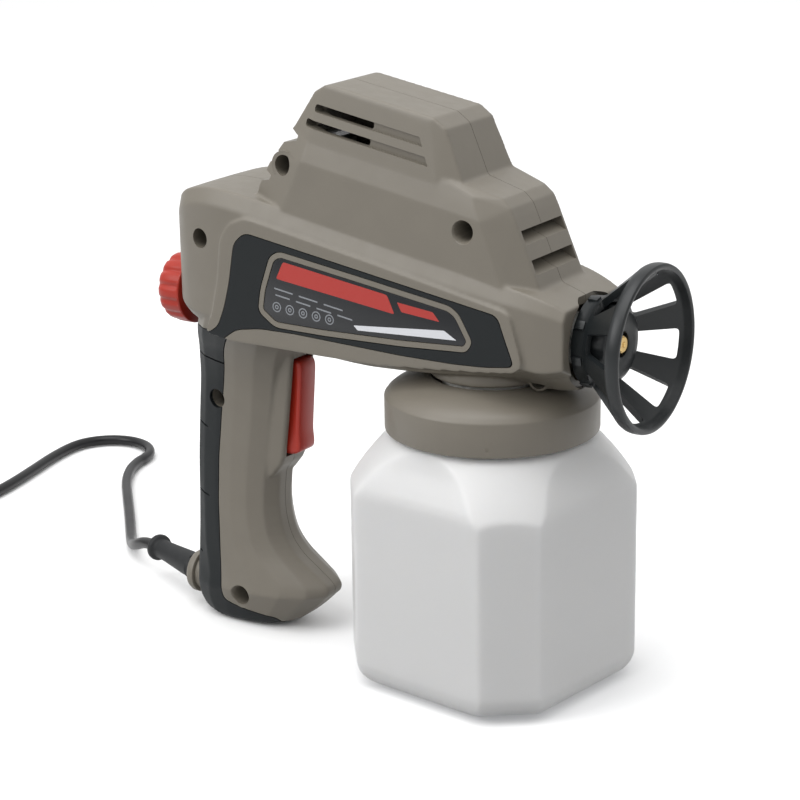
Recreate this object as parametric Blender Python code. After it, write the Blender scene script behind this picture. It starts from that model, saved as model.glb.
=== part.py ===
"""Hand-held electric paint spray gun with a screw-on paint container and a mains lead.

Frame: metres in the file, millimetres in every function below (MM converts).
X points forward along the nozzle, Y to the gun's left, Z up. The origin is on the
container's axis, on the surface that the container and the handle's heel stand on.
"""

import math

import bmesh
import bpy
from mathutils import Matrix, Vector

MM = 0.001
GAP = 0.3                      # clearance between touching pieces

# Driving dimensions
NOZZLE_Z = 146.6               # height of the pump and nozzle axis
KNOB_Z = 143.4                 # height of the stroke control's axis
HOOD_TILT = math.radians(-10.5)  # the hood and belt line fall towards the nose
HOOD_Z = 175.0                 # height of the hood frame's origin, above the container axis
WALL = 2.8                     # housing wall
SKIN = 1.7                     # depth of the soft grip moulded over the housing
SIDE_Y = 29.5                  # half width of the lower body
LABEL_RECESS = 1.1             # depth of the recess that the label lies in
LABEL_TOP, LABEL_BACK = 0.15, 0.75   # the label film's faces, below the body's side
LID_R, LID_BOTTOM_Z = 43.0, 105.1
SKIRT_Z = 127.5                # underside of the body's skirt, just above the lid
BOTTLE_WIDTH, BOTTLE_CHAMFER = 97.6, 17.3
BOTTLE_YAW = math.radians(-8.0)
BOTTLE_WALL = 1.8
GUARD_R, GUARD_REAR_X, GUARD_FRONT_X = 32.9, 44.6, 72.5
GUARD_WINDOWS = 8
ARMATURE_PIVOT = (-72.6, 0.0, 215.2)
TRIGGER_LINE = (-95.0, 0.0, 99.0)      # the trigger slides along X through this point
GLAND_Z = 13.6
PLUG_LENGTH, PLUG_PIN_SPACING, PLUG_PIN_R = 49.4, 18.6, 2.0
CORD_D = 5.2
RELIEF_START = Vector((-155.2, 1.9, GLAND_Z))
RELIEF_DIRECTION = Vector((-0.94, 0.342, 0.0)).normalized()
RELIEF_LENGTH = 32.6
COIL_CENTRE = (-358.0, 4.0)
COIL_MID_R, COIL_HALF_WIDTH, COIL_HEIGHT = 31.0, 8.0, 16.0
PLUG_REAR = (COIL_CENTRE[0] - 36.4, 26.6, 7.2)

# The cord's own route, chosen by hand, from the strain relief to where the coil starts
CORD_ROUTE = [
    (-186.5, 13.3, 13.6), (-195.8, 16.7, 12.2), (-205.0, 21.5, 8.2), (-214.0, 29.2, 4.4),
    (-225.0, 41.5, 2.8), (-243.0, 62.5, 2.7), (-261.0, 83.0, 2.7), (-275.5, 100.0, 2.7),
    (-285.6, 115.0, 2.7), (-290.6, 127.0, 2.7), (-292.0, 134.6, 2.7), (-295.2, 143.1, 2.7),
    (-303.1, 150.7, 2.7), (-314.5, 153.8, 2.7), (-325.9, 150.7, 2.7), (-334.2, 142.4, 2.7),
    (-337.3, 131.0, 2.7), (-335.0, 112.0, 2.7), (-330.0, 91.0, 2.7), (-325.0, 69.0, 2.7),
    (-322.0, 47.5, 2.7), (-321.6, 27.0, 2.7),
]

# ---------------------------------------------------------------- scene and materials


def clear_scene():
    for obj in list(bpy.data.objects):
        bpy.data.objects.remove(obj, do_unlink=True)


def material(name, colour, roughness, metallic=0.0, alpha=1.0):
    made = bpy.data.materials.new(name)
    made.use_nodes = True
    shader = made.node_tree.nodes["Principled BSDF"]
    shader.inputs["Base Color"].default_value = (*colour, 1.0)
    shader.inputs["Roughness"].default_value = roughness
    shader.inputs["Metallic"].default_value = metallic
    shader.inputs["Alpha"].default_value = alpha
    return made


def make_materials():
    return {
        "housing": material("housing_plastic", (0.27, 0.245, 0.205), 0.55),
        "grip": material("soft_grip", (0.022, 0.026, 0.028), 0.6),
        "label": material("label_film", (0.02, 0.02, 0.024), 0.25),
        "red": material("red_plastic", (0.62, 0.035, 0.015), 0.4),
        "black": material("black_plastic", (0.012, 0.013, 0.015), 0.35),
        "bottle": material("bottle_plastic", (0.72, 0.76, 0.8), 0.35, alpha=0.6),
        "rubber": material("rubber", (0.02, 0.02, 0.02), 0.7),
        "steel": material("steel", (0.55, 0.55, 0.56), 0.3, 1.0),
        "copper": material("copper_winding", (0.65, 0.25, 0.12), 0.35, 1.0),
        "brass": material("brass", (0.7, 0.5, 0.2), 0.3, 1.0),
        "nylon": material("white_nylon", (0.75, 0.75, 0.72), 0.5),
    }


# ---------------------------------------------------------------- mesh helpers


def mesh_object(name, points, faces, finish):
    mesh = bpy.data.meshes.new(name)
    mesh.from_pydata([tuple(c * MM for c in p) for p in points], [], faces)
    editable = bmesh.new()
    editable.from_mesh(mesh)
    bmesh.ops.recalc_face_normals(editable, faces=editable.faces)
    editable.to_mesh(mesh)
    editable.free()
    mesh.shade_smooth()
    mesh.set_sharp_from_angle(angle=math.radians(32))
    if finish is not None:
        mesh.materials.append(finish)
    obj = bpy.data.objects.new(name, mesh)
    bpy.context.scene.collection.objects.link(obj)
    return obj


def loft(name, rings, finish=None, closed=False):
    """A solid through rings of equally many points, capped at both ends or closed on itself."""
    count, levels = len(rings[0]), len(rings)
    points = [p for ring in rings for p in ring]
    faces = []
    for level in range(levels if closed else levels - 1):
        low, high = level * count, (level + 1) % levels * count
        for i in range(count):
            j = (i + 1) % count
            faces.append((low + i, low + j, high + j, high + i))
    if not closed:
        faces.append(tuple(range(count)))
        faces.append(tuple((levels - 1) * count + i for i in range(count)))
    return mesh_object(name, points, faces, finish)


def axis_frame(direction):
    along = Vector(direction).normalized()
    side = along.orthogonal().normalized()
    if abs(along.x) > 0.9:
        side = Vector((0, 1, 0))
        side = (side - along * side.dot(along)).normalized()
    return along, side, along.cross(side)


def turned(name, profile, start, direction, finish=None, segments=24, turn=0.0):
    """A profile of (distance along the axis, radius) turned about the axis, where its origin is.

    It is a plain solid between its first and last point, or a ring if the profile closes."""
    along, side, other = axis_frame(direction)
    ring_like = profile[0] == profile[-1]
    stations = profile[:-1] if ring_like else profile
    rings = []
    for distance, radius in stations:
        ring = []
        for i in range(segments):
            angle = 2 * math.pi * i / segments + turn
            offset = side * math.cos(angle) + other * math.sin(angle)
            ring.append(tuple(along * distance + offset * radius))
        rings.append(ring)
    obj = loft(name, rings, finish, closed=ring_like)
    obj.location = Vector(start) * MM
    return obj


def tube_profile(length, outer, inner):
    return [(0, inner), (0, outer), (length, outer), (length, inner), (0, inner)]


def prism(name, outline, y_low, y_high, finish=None):
    """An outline of (x, z) points, extruded from y_low to y_high."""
    rings = [[(x, y, z) for x, z in outline] for y in (y_low, y_high)]
    return loft(name, rings, finish)


def box(name, low, high, finish=None):
    (x0, y0, z0), (x1, y1, z1) = low, high
    rings = [[(x0, y0, z), (x1, y0, z), (x1, y1, z), (x0, y1, z)] for z in (z0, z1)]
    return loft(name, rings, finish)


def as_helper(obj):
    obj.hide_render = True
    obj.display_type = "WIRE"
    return obj


def boolean(obj, other, operation, solver="EXACT"):
    as_helper(other)
    step = obj.modifiers.new(f"{operation.lower()}_{other.name}", "BOOLEAN")
    step.operation = operation
    step.object = other
    step.solver = solver
    return obj


def cut(obj, *cutters, solver="EXACT"):
    for cutter in cutters:
        boolean(obj, cutter, "DIFFERENCE", solver)
    return obj


def join(obj, *others, solver="EXACT"):
    for other in others:
        boolean(obj, other, "UNION", solver)
    return obj


def set_origin(obj, point):
    """Moves the object's origin to the point and leaves its shape where it is."""
    origin = Vector(point) * MM
    obj.data.transform(Matrix.Translation(obj.location - origin))
    obj.location = origin
    return obj


# ---------------------------------------------------------------- the housing's outer form


def hood_point(u, y, v):
    """A point of the tilted hood frame: u forward, v up, measured from the belt line."""
    x = u * math.cos(HOOD_TILT) - v * math.sin(HOOD_TILT)
    z = HOOD_Z + u * math.sin(HOOD_TILT) + v * math.cos(HOOD_TILT)
    return (x, y, z)


def hood_ring(v, front, front_y, shoulder, side_y, rear_side, rear, rear_y, inset):
    """An eight-cornered plan outline of the hood at height v."""
    half = [
        (front - inset, front_y - 0.5 * inset), (shoulder - 0.4 * inset, side_y - inset),
        (rear_side + 0.4 * inset, side_y - inset), (rear + inset, rear_y - 0.5 * inset),
    ]
    outline = half + [(u, -y) for u, y in reversed(half)]
    return [hood_point(u, y, v) for u, y in outline]


def upper_hood(name, inset=0.0):
    """The cover over the electromagnet: flat top, sloping front and louvred rear."""
    rings = [
        hood_ring(-14.0, -5.0, 19.8, -14.0, 24.5, -84.0, -103.0, 18.0, inset),
        hood_ring(20.0, -6.5, 19.8, -15.0, 24.0, -77.5, -91.5, 18.0, inset),
        hood_ring(31.0 - 0.3 * inset, -8.0, 19.6, -16.5, 22.8, -76.0, -87.5, 17.5, inset),
        hood_ring(46.5 - inset, -18.6, 18.0, -26.0, 20.4, -74.5, -81.0, 16.5, inset),
        hood_ring(51.5 - inset, -25.0, 16.5, -30.0, 18.8, -72.0, -76.5, 15.5, inset),
    ]
    return loft(name, rings)


def lower_hood(name, inset=0.0):
    """The wider step below it, whose front face holds the air vents."""
    rings = [
        hood_ring(-14.0, 34.0, 17.3, 22.0, 26.5, -83.0, -102.0, 18.0, inset),
        hood_ring(-1.0, 32.0, 17.3, 20.0, 26.5, -82.0, -99.0, 18.0, inset),
        hood_ring(20.0, 19.0, 17.5, 8.0, 24.6, -77.5, -91.5, 18.0, inset),
        hood_ring(25.0 - 0.5 * inset, 15.2, 17.2, 4.0, 24.0, -77.0, -89.8, 18.0, inset),
        hood_ring(29.6 - inset, 10.5, 16.5, 0.0, 22.8, -76.0, -87.5, 17.5, inset),
    ]
    return loft(name, rings)


def belt_z(x, v):
    """Height of the line at height v of the hood frame, at x."""
    u = (x + v * math.sin(HOOD_TILT)) / math.cos(HOOD_TILT)
    return HOOD_Z + u * math.sin(HOOD_TILT) + v * math.cos(HOOD_TILT)


def body_section(x, side_y, top_v, edge_v, low_side_z, low_side_y, low_z, inset):
    """A section across the lower body at x, from its top shelf down to its keel."""
    top = belt_z(x, top_v) - inset
    edge = belt_z(x, edge_v) - 0.5 * inset
    half = [
        (side_y * 0.62 - 0.6 * inset, top), (side_y * 0.9 - inset, top - 1.2),
        (side_y - inset, edge), (side_y - inset, low_side_z + 4.5),
        (low_side_y - inset, low_side_z + 0.6 * inset), (low_side_y * 0.45, low_z + inset),
    ]
    outline = half + [(-y, z) for y, z in reversed(half)]
    return [(x, y, z) for y, z in outline]


def lower_body(name, inset=0.0):
    """The long body from the rounded rear end, over the handle, to the nose."""
    stations = [
        (-142.6 + inset, 12.0, -18.2, -24.0, 143.0, 9.0, 138.5),
        (-139.5 + 0.8 * inset, 18.5, -13.5, -20.5, 140.0, 14.0, 136.5),
        (-132.0 + 0.5 * inset, 24.0, -7.8, -15.5, 137.5, 19.0, 135.5),
        (-121.0, 28.2, -3.6, -10.0, 136.5, 23.5, 135.0),
        (-108.0, SIDE_Y, -1.5, -7.6, 136.0, 25.0, 134.0),
        (-85.0, SIDE_Y, -1.0, -7.2, 134.0, 25.0, 130.5),
        (-48.0, SIDE_Y, -1.0, -6.8, 129.6, 25.0, 127.6),
        (8.0, SIDE_Y, -1.0, -6.0, 133.0, 25.0, 129.5),
        (27.0, 27.6, -1.2, -6.2, 134.6, 20.0, 127.8),
        (45.5 - inset, 24.6, -3.8, -7.8, 134.6, 14.0, 127.8),
    ]
    return loft(name, [body_section(*station, inset) for station in stations])


def handle_ring(z, back, front, half, heel, inset):
    """A plan outline of the handle at height z, rounder at its back than at its front."""
    back, front, half = back + inset, front - inset, half - inset
    depth = front - back
    side = [
        (back, 0.30 * half), (back + 0.07 * depth, 0.68 * half), (back + 0.22 * depth, 0.94 * half),
        (back + 0.45 * depth, half), (back + 0.70 * depth, 0.97 * half),
        (back + 0.88 * depth, 0.78 * half), (front, 0.36 * half),
    ]
    outline = [(x, y) for x, y in side] + [(x, -y) for x, y in reversed(side)]
    return [(x, y, z - heel * (x - back) / depth) for x, y in outline]


def handle(name, inset=0.0):
    """The handle: a swept grip with a toe at the bottom of its front."""
    rings = [
        handle_ring(0.1 + inset, -135.5, -101.0, 14.0, -1.2, inset),
        handle_ring(2.2 + inset, -143.0, -92.5, 16.0, -1.6, inset),
        handle_ring(8.0, -147.0, -84.5, 17.0, -2.0, inset),
        handle_ring(16.5, -147.5, -78.2, 17.0, -2.5, inset),
        handle_ring(24.0, -146.5, -83.5, 16.5, 0.0, inset),
        handle_ring(34.0, -145.3, -97.5, 16.0, 0.0, inset),
        handle_ring(50.0, -143.7, -103.2, 15.5, 0.0, inset),
        handle_ring(69.0, -143.6, -101.0, 15.3, 0.0, inset),
        handle_ring(77.0, -143.2, -97.0, 15.3, 0.0, inset),
        handle_ring(96.0, -141.8, -94.8, 15.5, 0.0, inset),
        handle_ring(108.0, -140.4, -93.4, 16.4, 0.0, inset),
        handle_ring(120.0, -138.6, -91.6, 19.2, 0.0, inset),
        handle_ring(129.0, -136.6, -86.0, 23.5, 0.0, inset),
        handle_ring(135.5, -134.8, -80.5, 27.0, 0.0, inset),
        handle_ring(142.0, -133.0, -76.0, 28.0, 0.0, inset),
    ]
    return loft(name, rings)


def far_side(name, side):
    """Everything on the other side of the parting plane, with half the gap between the shells."""
    return box(name, *sorted_corners((-200, -side * 60, -10), (90, side * GAP / 2, 260)))


def sorted_corners(a, b):
    return tuple(map(min, a, b)), tuple(map(max, a, b))


# ---------------------------------------------------------------- grip and label outlines

GRIP_OUTLINE = [
    (-98.0, 178.3), (-104.0, 173.5), (-106.5, 158.0), (-112.0, 139.0), (-114.0, 133.8),
    (-170.0, 133.8), (-170.0, -5.0), (-97.0, -5.0), (-100.0, 5.6), (-121.0, 8.4), (-126.0, 10.5),
    (-127.0, 20.0), (-127.5, 55.0), (-124.0, 91.0), (-119.5, 122.0), (-113.5, 131.0),
    (-104.0, 137.4), (-92.0, 139.4), (-75.0, 139.6), (-57.0, 139.0), (-24.0, 137.9),
    (0.0, 137.9), (14.0, 138.6), (27.0, 140.4), (19.7, 159.6), (-40.0, 169.2),
]
LABEL_OUTLINE = [
    (-81.2, 170.4), (-1.5, 158.2), (6.4, 146.6), (3.0, 145.4), (-24.0, 144.0), (-60.0, 143.6),
    (-83.0, 143.6), (-89.5, 148.5),
]


def shifted_outline(outline, amount):
    """The outline moved outwards by about amount, or inwards if it is negative."""
    moved = []
    count = len(outline)
    for i, (x, z) in enumerate(outline):
        before = Vector(outline[i - 1])
        after = Vector(outline[(i + 1) % count])
        here = Vector((x, z))
        first, second = (here - before).normalized(), (after - here).normalized()
        normal = Vector((-(first + second).y, (first + second).x)).normalized()
        stretch = 1.0 / max(0.45, normal.dot(Vector((-second.y, second.x))))
        moved.append(tuple(here + normal * amount * stretch))
    area = sum(
        outline[i - 1][0] * outline[i][1] - outline[i][0] * outline[i - 1][1] for i in range(count)
    )
    if area > 0:
        return [(2 * x - mx, 2 * z - mz) for (x, z), (mx, mz) in zip(outline, moved)]
    return moved


# ---------------------------------------------------------------- housing shells

CASE_SCREWS = {          # x, z and the depth of each screw boss from the side
    "rear": (-122.4, 173.0, 25.0),
    "hood_rear": (-83.5, 206.0, 22.0),
    "hood_front": (1.9, 189.1, 24.5),
    "grip": (-125.9, 101.0, 13.0),
    "foot": (-116.5, 13.8, 16.5),
}
SCREW_HEAD_R, SCREW_SHANK_R = 3.4, 1.5
SCREW_SEAT_Y = 5.5             # depth of the shoulder under each screw's head, from the parting plane
BOSS_R = 5.8


def vent_cutters(side):
    """The front vents, the long side slots and the rear louvres, cut right through the wall."""
    cutters = []
    for number, (u, v) in enumerate(((24.4, 12.0), (16.2, 22.0))):
        low, high = hood_point(u - 8, 0, v), hood_point(u + 9, 0, v)
        outline = [(low[0], low[2] - 4.0), (high[0], high[2] - 4.0), (high[0], high[2] + 4.0),
                   (low[0], low[2] + 4.0)]
        cutters.append(prism(f"front_vent_{side}_{number}", outline, -15.6, 15.6))
    for number, v in enumerate((41.8, 35.0)):
        ends = [hood_point(-79.0 + number * -2.0, 0, v), hood_point(-50.0, 0, v)]
        outline = [(x, z + dz) for (x, _, z), dz in zip(ends + ends[::-1], (-1.7, -1.7, 1.7, 1.7))]
        y_range = sorted((side * 15.0, side * 30.0))
        cutters.append(prism(f"side_slot_{side}_{number}", outline, *y_range))
    return cutters


def louvre_cutters(side):
    """The slits between the steps at the hood's rear."""
    cutters = []
    for number, v in enumerate((26.0, 17.5, 9.0)):
        u = -89.5 - (26.0 - v) * 0.42
        low, high = hood_point(u - 8, 0, v), hood_point(u + 8, 0, v)
        outline = [(low[0], low[2] - 1.4), (high[0], high[2] - 1.4), (high[0], high[2] + 1.4),
                   (low[0], low[2] + 1.4)]
        cutters.append(prism(f"louvre_{side}_{number}", outline, -12.0, 12.0))
    return cutters


def opening_cutters(side):
    """Openings for the trigger, the control knob's spindle, the nozzle, the neck and the gland."""
    return [
        box(f"trigger_cut_{side}", (-112, -6.9, 77.2), (-70, 6.9, 121.0)),
        turned(f"spindle_cut_{side}", [(0, 6.2), (12.0, 6.2), (12.1, 9.4), (30, 9.4)],
               (-150, 0, KNOB_Z), (1, 0, 0)),
        turned(f"nozzle_cut_{side}", [(0, 11.6), (30, 11.6)], (36, 0, NOZZLE_Z), (1, 0, 0)),
        turned(f"nose_recess_{side}", [(0, 19.5), (16, 19.5)], (42.2, 0, NOZZLE_Z), (1, 0, 0), segments=32),
        turned(f"neck_cut_{side}", [(0, 20.4), (20, 20.4)], (0, 0, 120), (0, 0, 1), segments=32),
        turned(f"gland_cut_{side}", [(0, 8.3), (22, 8.3)], (-156, 0, GLAND_Z), (1, 0, 0)),
    ]


def screw_cutters(side, names=tuple(CASE_SCREWS)):
    """A deep round hole over each case screw on the right, and a pilot hole on the left."""
    cutters = []
    for name in names:
        x, z, y = CASE_SCREWS[name]
        if side < 0:
            start = (x, -y - 12, z)
            seat = y + 12 - SCREW_SEAT_Y
            profile = [(0, 4.2), (seat, 4.2), (seat + 0.1, 1.85), (y + 14, 1.85)]
        else:
            start = (x, -1, z)
            profile = [(0, 1.85), (10.5, 1.85)]
        cutters.append(turned(f"screw_hole_{side}_{name}", profile, start, (0, 1, 0), segments=14))
    return cutters


def screw_bosses(side):
    """The posts inside the shell that the case screws pull together."""
    return [
        turned(f"boss_{side}_{name}", [(0, BOSS_R), (y - 0.6, BOSS_R)], (x, side * GAP / 2, z),
               (0, side, 0), segments=12)
        for name, (x, z, y) in CASE_SCREWS.items()
    ]


def grip_tool(name, depth, widen):
    """The space of the soft grip, down to depth below the surface."""
    tool = prism(name, shifted_outline(GRIP_OUTLINE, widen), -40, 40)
    cut(tool, lower_body(name + "_core", depth), handle(name + "_core_handle", depth))
    window = prism(name + "_window", shifted_outline(LABEL_OUTLINE, 3.0 - widen), -45, 45)
    return cut(tool, window)


def housing_shell(name, side, finish):
    """One half of the housing. Its many nearly flush steps need the MANIFOLD solver."""
    shell = lower_body(name)
    shell.data.materials.append(finish)
    skirt = turned(name + "_neck_skirt", [(0, 24.5), (8, 24.5)], (0, 0, SKIRT_Z), (0, 0, 1), segments=32)
    outside = [lower_hood(name + "_lower_hood"), upper_hood(name + "_upper_hood"), handle(name + "_handle"),
               skirt]
    cavity = [maker(f"{name}_cavity_{maker.__name__}", WALL)
              for maker in (lower_body, lower_hood, upper_hood, handle)]
    label_y = sorted((side * (SIDE_Y - LABEL_RECESS), side * (SIDE_Y + 5)))
    cutters = [
        grip_tool(name + "_grip_space", SKIN + GAP, GAP / 2), far_side(name + "_far", side),
        prism(name + "_label_recess", LABEL_OUTLINE, *label_y),
        *vent_cutters(side), *louvre_cutters(side), *opening_cutters(side), *screw_cutters(side),
    ]
    join(shell, *outside, solver="MANIFOLD")
    cut(shell, *cavity, solver="MANIFOLD")
    join(shell, *screw_bosses(side), solver="MANIFOLD")
    return cut(shell, *cutters, solver="MANIFOLD")


def grip_shell(name, side, finish):
    """The soft charcoal layer over the handle's back and the body's side."""
    grip = lower_body(name)
    grip.data.materials.append(finish)
    join(grip, handle(name + "_handle"))
    boolean(grip, grip_tool(name + "_space", SKIN, -GAP / 2), "INTERSECT")
    cut(grip, far_side(name + "_far", side))
    gland = turned(name + "_gland", [(0, 11.0), (30, 11.0)], (-170, 0, GLAND_Z), (1, 0, 0))
    cut(grip, gland, *screw_cutters(side, ("grip",)))
    return grip


# ---------------------------------------------------------------- container, lid and suction


def octagon_radius(angle, width, chamfer):
    """Distance from the centre to the side of a square with cut corners."""
    half = width / 2
    reach = [
        half / max(abs(math.cos(angle)), 1e-9), half / max(abs(math.sin(angle)), 1e-9),
        (2 * half - chamfer) / (abs(math.cos(angle)) + abs(math.sin(angle))),
    ]
    return min(reach)


def bottle_ring(z, width, chamfer, roundness, inset=0.0):
    """A level of the container, between its eight-sided body and its round neck."""
    ring = []
    corner = math.degrees(math.atan2(BOTTLE_WIDTH / 2 - BOTTLE_CHAMFER, BOTTLE_WIDTH / 2))
    quarter = (-corner, -0.5 * corner, 0.0, 0.5 * corner, corner, 45.0)
    for turn in range(4):
        for degrees in quarter:
            angle = math.radians(degrees + 90 * turn)
            sided = octagon_radius(angle, width, chamfer)
            radius = sided * (1 - roundness) + width / 2 * roundness - inset
            facing = angle + BOTTLE_YAW
            ring.append((radius * math.cos(facing), radius * math.sin(facing), z))
    return ring


def container(finish):
    """The blow-moulded container: an eight-sided body that draws in to a round threaded neck."""
    width, chamfer = BOTTLE_WIDTH, BOTTLE_CHAMFER
    outside = [
        (0.0, width - 16, chamfer, 0.0), (1.2, width - 9.5, chamfer, 0.0), (3.5, width - 4.2, chamfer, 0.0),
        (7.0, width - 1.1, chamfer, 0.0), (11.0, width, chamfer, 0.0), (84.0, width, chamfer, 0.0),
        (90.0, width - 4.0, chamfer, 0.1), (96.0, width - 9.0, chamfer, 0.4),
        (101.0, width - 12.5, chamfer, 0.8), (104.6, 83.0, chamfer, 1.0), (104.7, 77.4, chamfer, 1.0),
        (118.4, 77.0, chamfer, 1.0),
    ]
    rings = [bottle_ring(*level) for level in outside]
    inside = [bottle_ring(z, w, c, r, BOTTLE_WALL) for z, w, c, r in reversed(outside[4:])]
    inside[1] = bottle_ring(103.0, 77.4, chamfer, 1.0, BOTTLE_WALL)
    inside[2] = bottle_ring(102.0, 79.0, chamfer, 1.0, BOTTLE_WALL)
    inside.append(bottle_ring(5.4, width - 3.6, chamfer, 0.0, BOTTLE_WALL))
    inside.append(bottle_ring(3.0, width - 9.5, chamfer, 0.0, BOTTLE_WALL))
    inside.append(bottle_ring(1.9, width - 16, chamfer, 0.0, BOTTLE_WALL))
    return loft("paint_container", rings + inside, finish)


def container_lid(finish):
    """The screw cap that is fixed under the gun, open in the middle for the pump's foot."""
    profile = [
        (0.0, 39.2), (0.0, LID_R), (13.4, LID_R), (15.0, LID_R - 0.8), (17.6, 38.4), (20.4, 31.0),
        (22.0, 24.0), (14.9, 20.4), (14.9, 20.3), (14.6, 20.3), (14.6, 39.2), (0.0, 39.2),
    ]
    return turned("container_lid", profile, (0, 0, LID_BOTTOM_Z), (0, 0, 1), finish, segments=36)


def suction_parts(mats):
    """The pump's suction tube with the filter on its end, and the gasket over the container's rim."""
    up = (0, 0, 1)
    filter_cap = [(0, 5.2), (0, 8.0), (9.0, 8.0), (9.0, 3.95), (3.2, 3.95), (3.2, 5.2), (0, 5.2)]
    turned("suction_tube", tube_profile(112.0, 3.6, 2.4), (0, 0, 11.0), up, mats["nylon"], 16)
    turned("suction_filter", filter_cap, (0, 0, 7.6), up, mats["nylon"], 20)
    turned("container_gasket", tube_profile(0.8, 38.4, 34.0), (0, 0, 118.6), up, mats["rubber"], 32)


# ---------------------------------------------------------------- pump, nozzle and guard


def pump_body(finish):
    """The pump: a bored block behind the nose, with its foot in the lid and its snout in front."""
    body = turned("pump_body", [(0, 10.0), (70.0, 10.0), (70.4, 9.6), (84.0, 9.6)],
                  (-33.0, 0, NOZZLE_Z), (1, 0, 0), finish, 24)
    foot = turned("pump_foot", [(0, 18.6), (2.0, 20.0), (8.5, 20.0), (8.6, 9.0), (24.0, 9.0)],
                  (0, 0, 120.0 + GAP), (0, 0, 1), segments=28)
    bore = turned("pump_bore", [(0, 3.07), (80.0, 3.07), (80.1, 6.6), (90.0, 6.6)],
                  (-34.0, 0, NOZZLE_Z), (1, 0, 0))
    inlet = turned("pump_inlet", [(0, 4.0), (7.5, 4.0), (7.6, 2.2), (26.0, 2.2)], (0, 0, 117.0), (0, 0, 1),
                   segments=16)
    return cut(join(body, foot), bore, inlet)


def nozzle_parts(mats):
    """Everything on the nozzle's axis, from the piston's head to the nut."""
    nut = [(0, 10.0), (0, 14.6), (10.5, 14.6), (12.0, 12.5), (12.0, 5.0), (9.4, 5.0), (9.3, 10.0), (0, 10.0)]
    pieces = {          # x where the profile starts, the profile, its finish and its segments
        "piston": (-69.5, [(0, 5.5), (2.2, 5.5), (2.3, 3.0), (76.0, 3.0)], "steel", 24),
        "piston_spring": (-66.6, tube_profile(32.8, 5.0, 3.7), "steel", 24),
        "atomizer_valve": (46.6, [(0, 4.4), (1.5, 6.2), (4.3, 6.2)], "brass", 24),
        "nozzle_o_ring": (51.3, tube_profile(1.2, 8.6, 6.6), "rubber", 24),
        "nozzle_tip": (52.8, [(0, 8.6), (2.0, 8.6), (2.1, 4.0), (5.5, 3.2)], "brass", 24),
        "nozzle_nut": (46.0, nut, "black", 32),
    }
    for name, (x, profile, finish, segments) in pieces.items():
        turned(name, profile, (x, 0, NOZZLE_Z), (1, 0, 0), mats[finish], segments)


def spray_guard(finish):
    """The guard cone: a collar on the nut, eight flat spokes and a wide front ring."""
    front = GUARD_FRONT_X - GUARD_REAR_X
    profile = [
        (0, 15.1), (0, 17.4), (6.0, 17.9), (22.3, 32.2), (23.3, GUARD_R), (front, GUARD_R),
        (front, 30.2), (23.0, 29.6), (8.0, 15.5), (6.6, 15.1), (0, 15.1),
    ]
    guard = turned("spray_guard", profile, (GUARD_REAR_X, 0, NOZZLE_Z), (1, 0, 0), finish, 40)
    half = math.radians(12.2)
    for number in range(GUARD_WINDOWS):
        angle = 2 * math.pi * number / GUARD_WINDOWS + HOOD_TILT
        rings = []
        for x, inner, outer in ((52.2, 12.0, 40.0), (67.4, 12.0, 40.0)):
            corners = [(inner, -half), (outer, -half), (outer, half), (inner, half)]
            rings.append(
                [(x, r * math.cos(angle + a), NOZZLE_Z + r * math.sin(angle + a)) for r, a in corners]
            )
        cut(guard, loft(f"guard_window_{number}", rings))
    return guard


# ---------------------------------------------------------------- electromagnet


def magnet_parts(mats):
    """The E-shaped core, the bobbin on its middle leg and the winding."""
    core = box("magnet_core", (-65.5, -12, 172), (-22, 12, 210), mats["steel"])
    for number, (z_low, z_high) in enumerate(((179.0, 187.0), (195.0, 203.0))):
        cut(core, box(f"core_window_{number}", (-70, -13, z_low), (-29, 13, z_high)))
    bobbin = box("coil_bobbin", (-60, -15.5, 179.3), (-30, 15.5, 202.7), mats["nylon"])
    cut(bobbin, box("bobbin_bore", (-70, -12.3, 186.7), (-20, 12.3, 195.3)))
    cut(bobbin, ring_cutter("bobbin_groove", (-58, -27), (13.6, 15.6 + 6), (184.9, 197.1)))
    winding = box("coil_winding", (-57.5, -17.4, 180.0), (-32.5, 17.4, 202.0), mats["copper"])
    cut(winding, box("winding_bore", (-80, -13.9, 184.6), (-20, 13.9, 197.4)))


def ring_cutter(name, x_range, y_reach, z_range):
    """A frame-shaped cutter that turns a block into a flanged bobbin."""
    x_low, x_high = x_range[0], x_range[1] - 5.0
    outer = box(name, (x_low, -y_reach[1], 170), (x_high, y_reach[1], 212))
    inner = box(name + "_keep", (x_low - 2, -y_reach[0], z_range[0]), (x_high + 2, y_reach[0], z_range[1]))
    return cut(outer, inner)


def armature_parts(mats):
    """The steel plate that the magnet swings, its eye round a cross pin at the top."""
    x, _, z = ARMATURE_PIVOT
    plate = box("armature", (x, -11.0, 138.5), (x + 2.7, 11.0, 214.0), mats["steel"])
    set_origin(plate, ARMATURE_PIVOT)
    eye = turned("armature_eye", [(0, 3.2), (22.0, 3.2)], (x, -11.0, z), (0, 1, 0), segments=20)
    hole = turned("armature_hole", [(0, 1.58), (40, 1.58)], (x, -20.0, z), (0, 1, 0), segments=20)
    cut(join(plate, eye), hole)
    turned("armature_pin", [(0, 1.5), (31.0, 1.5)], (x, -15.5, z), (0, 1, 0), mats["steel"], 20)


# ---------------------------------------------------------------- stroke control


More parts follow.
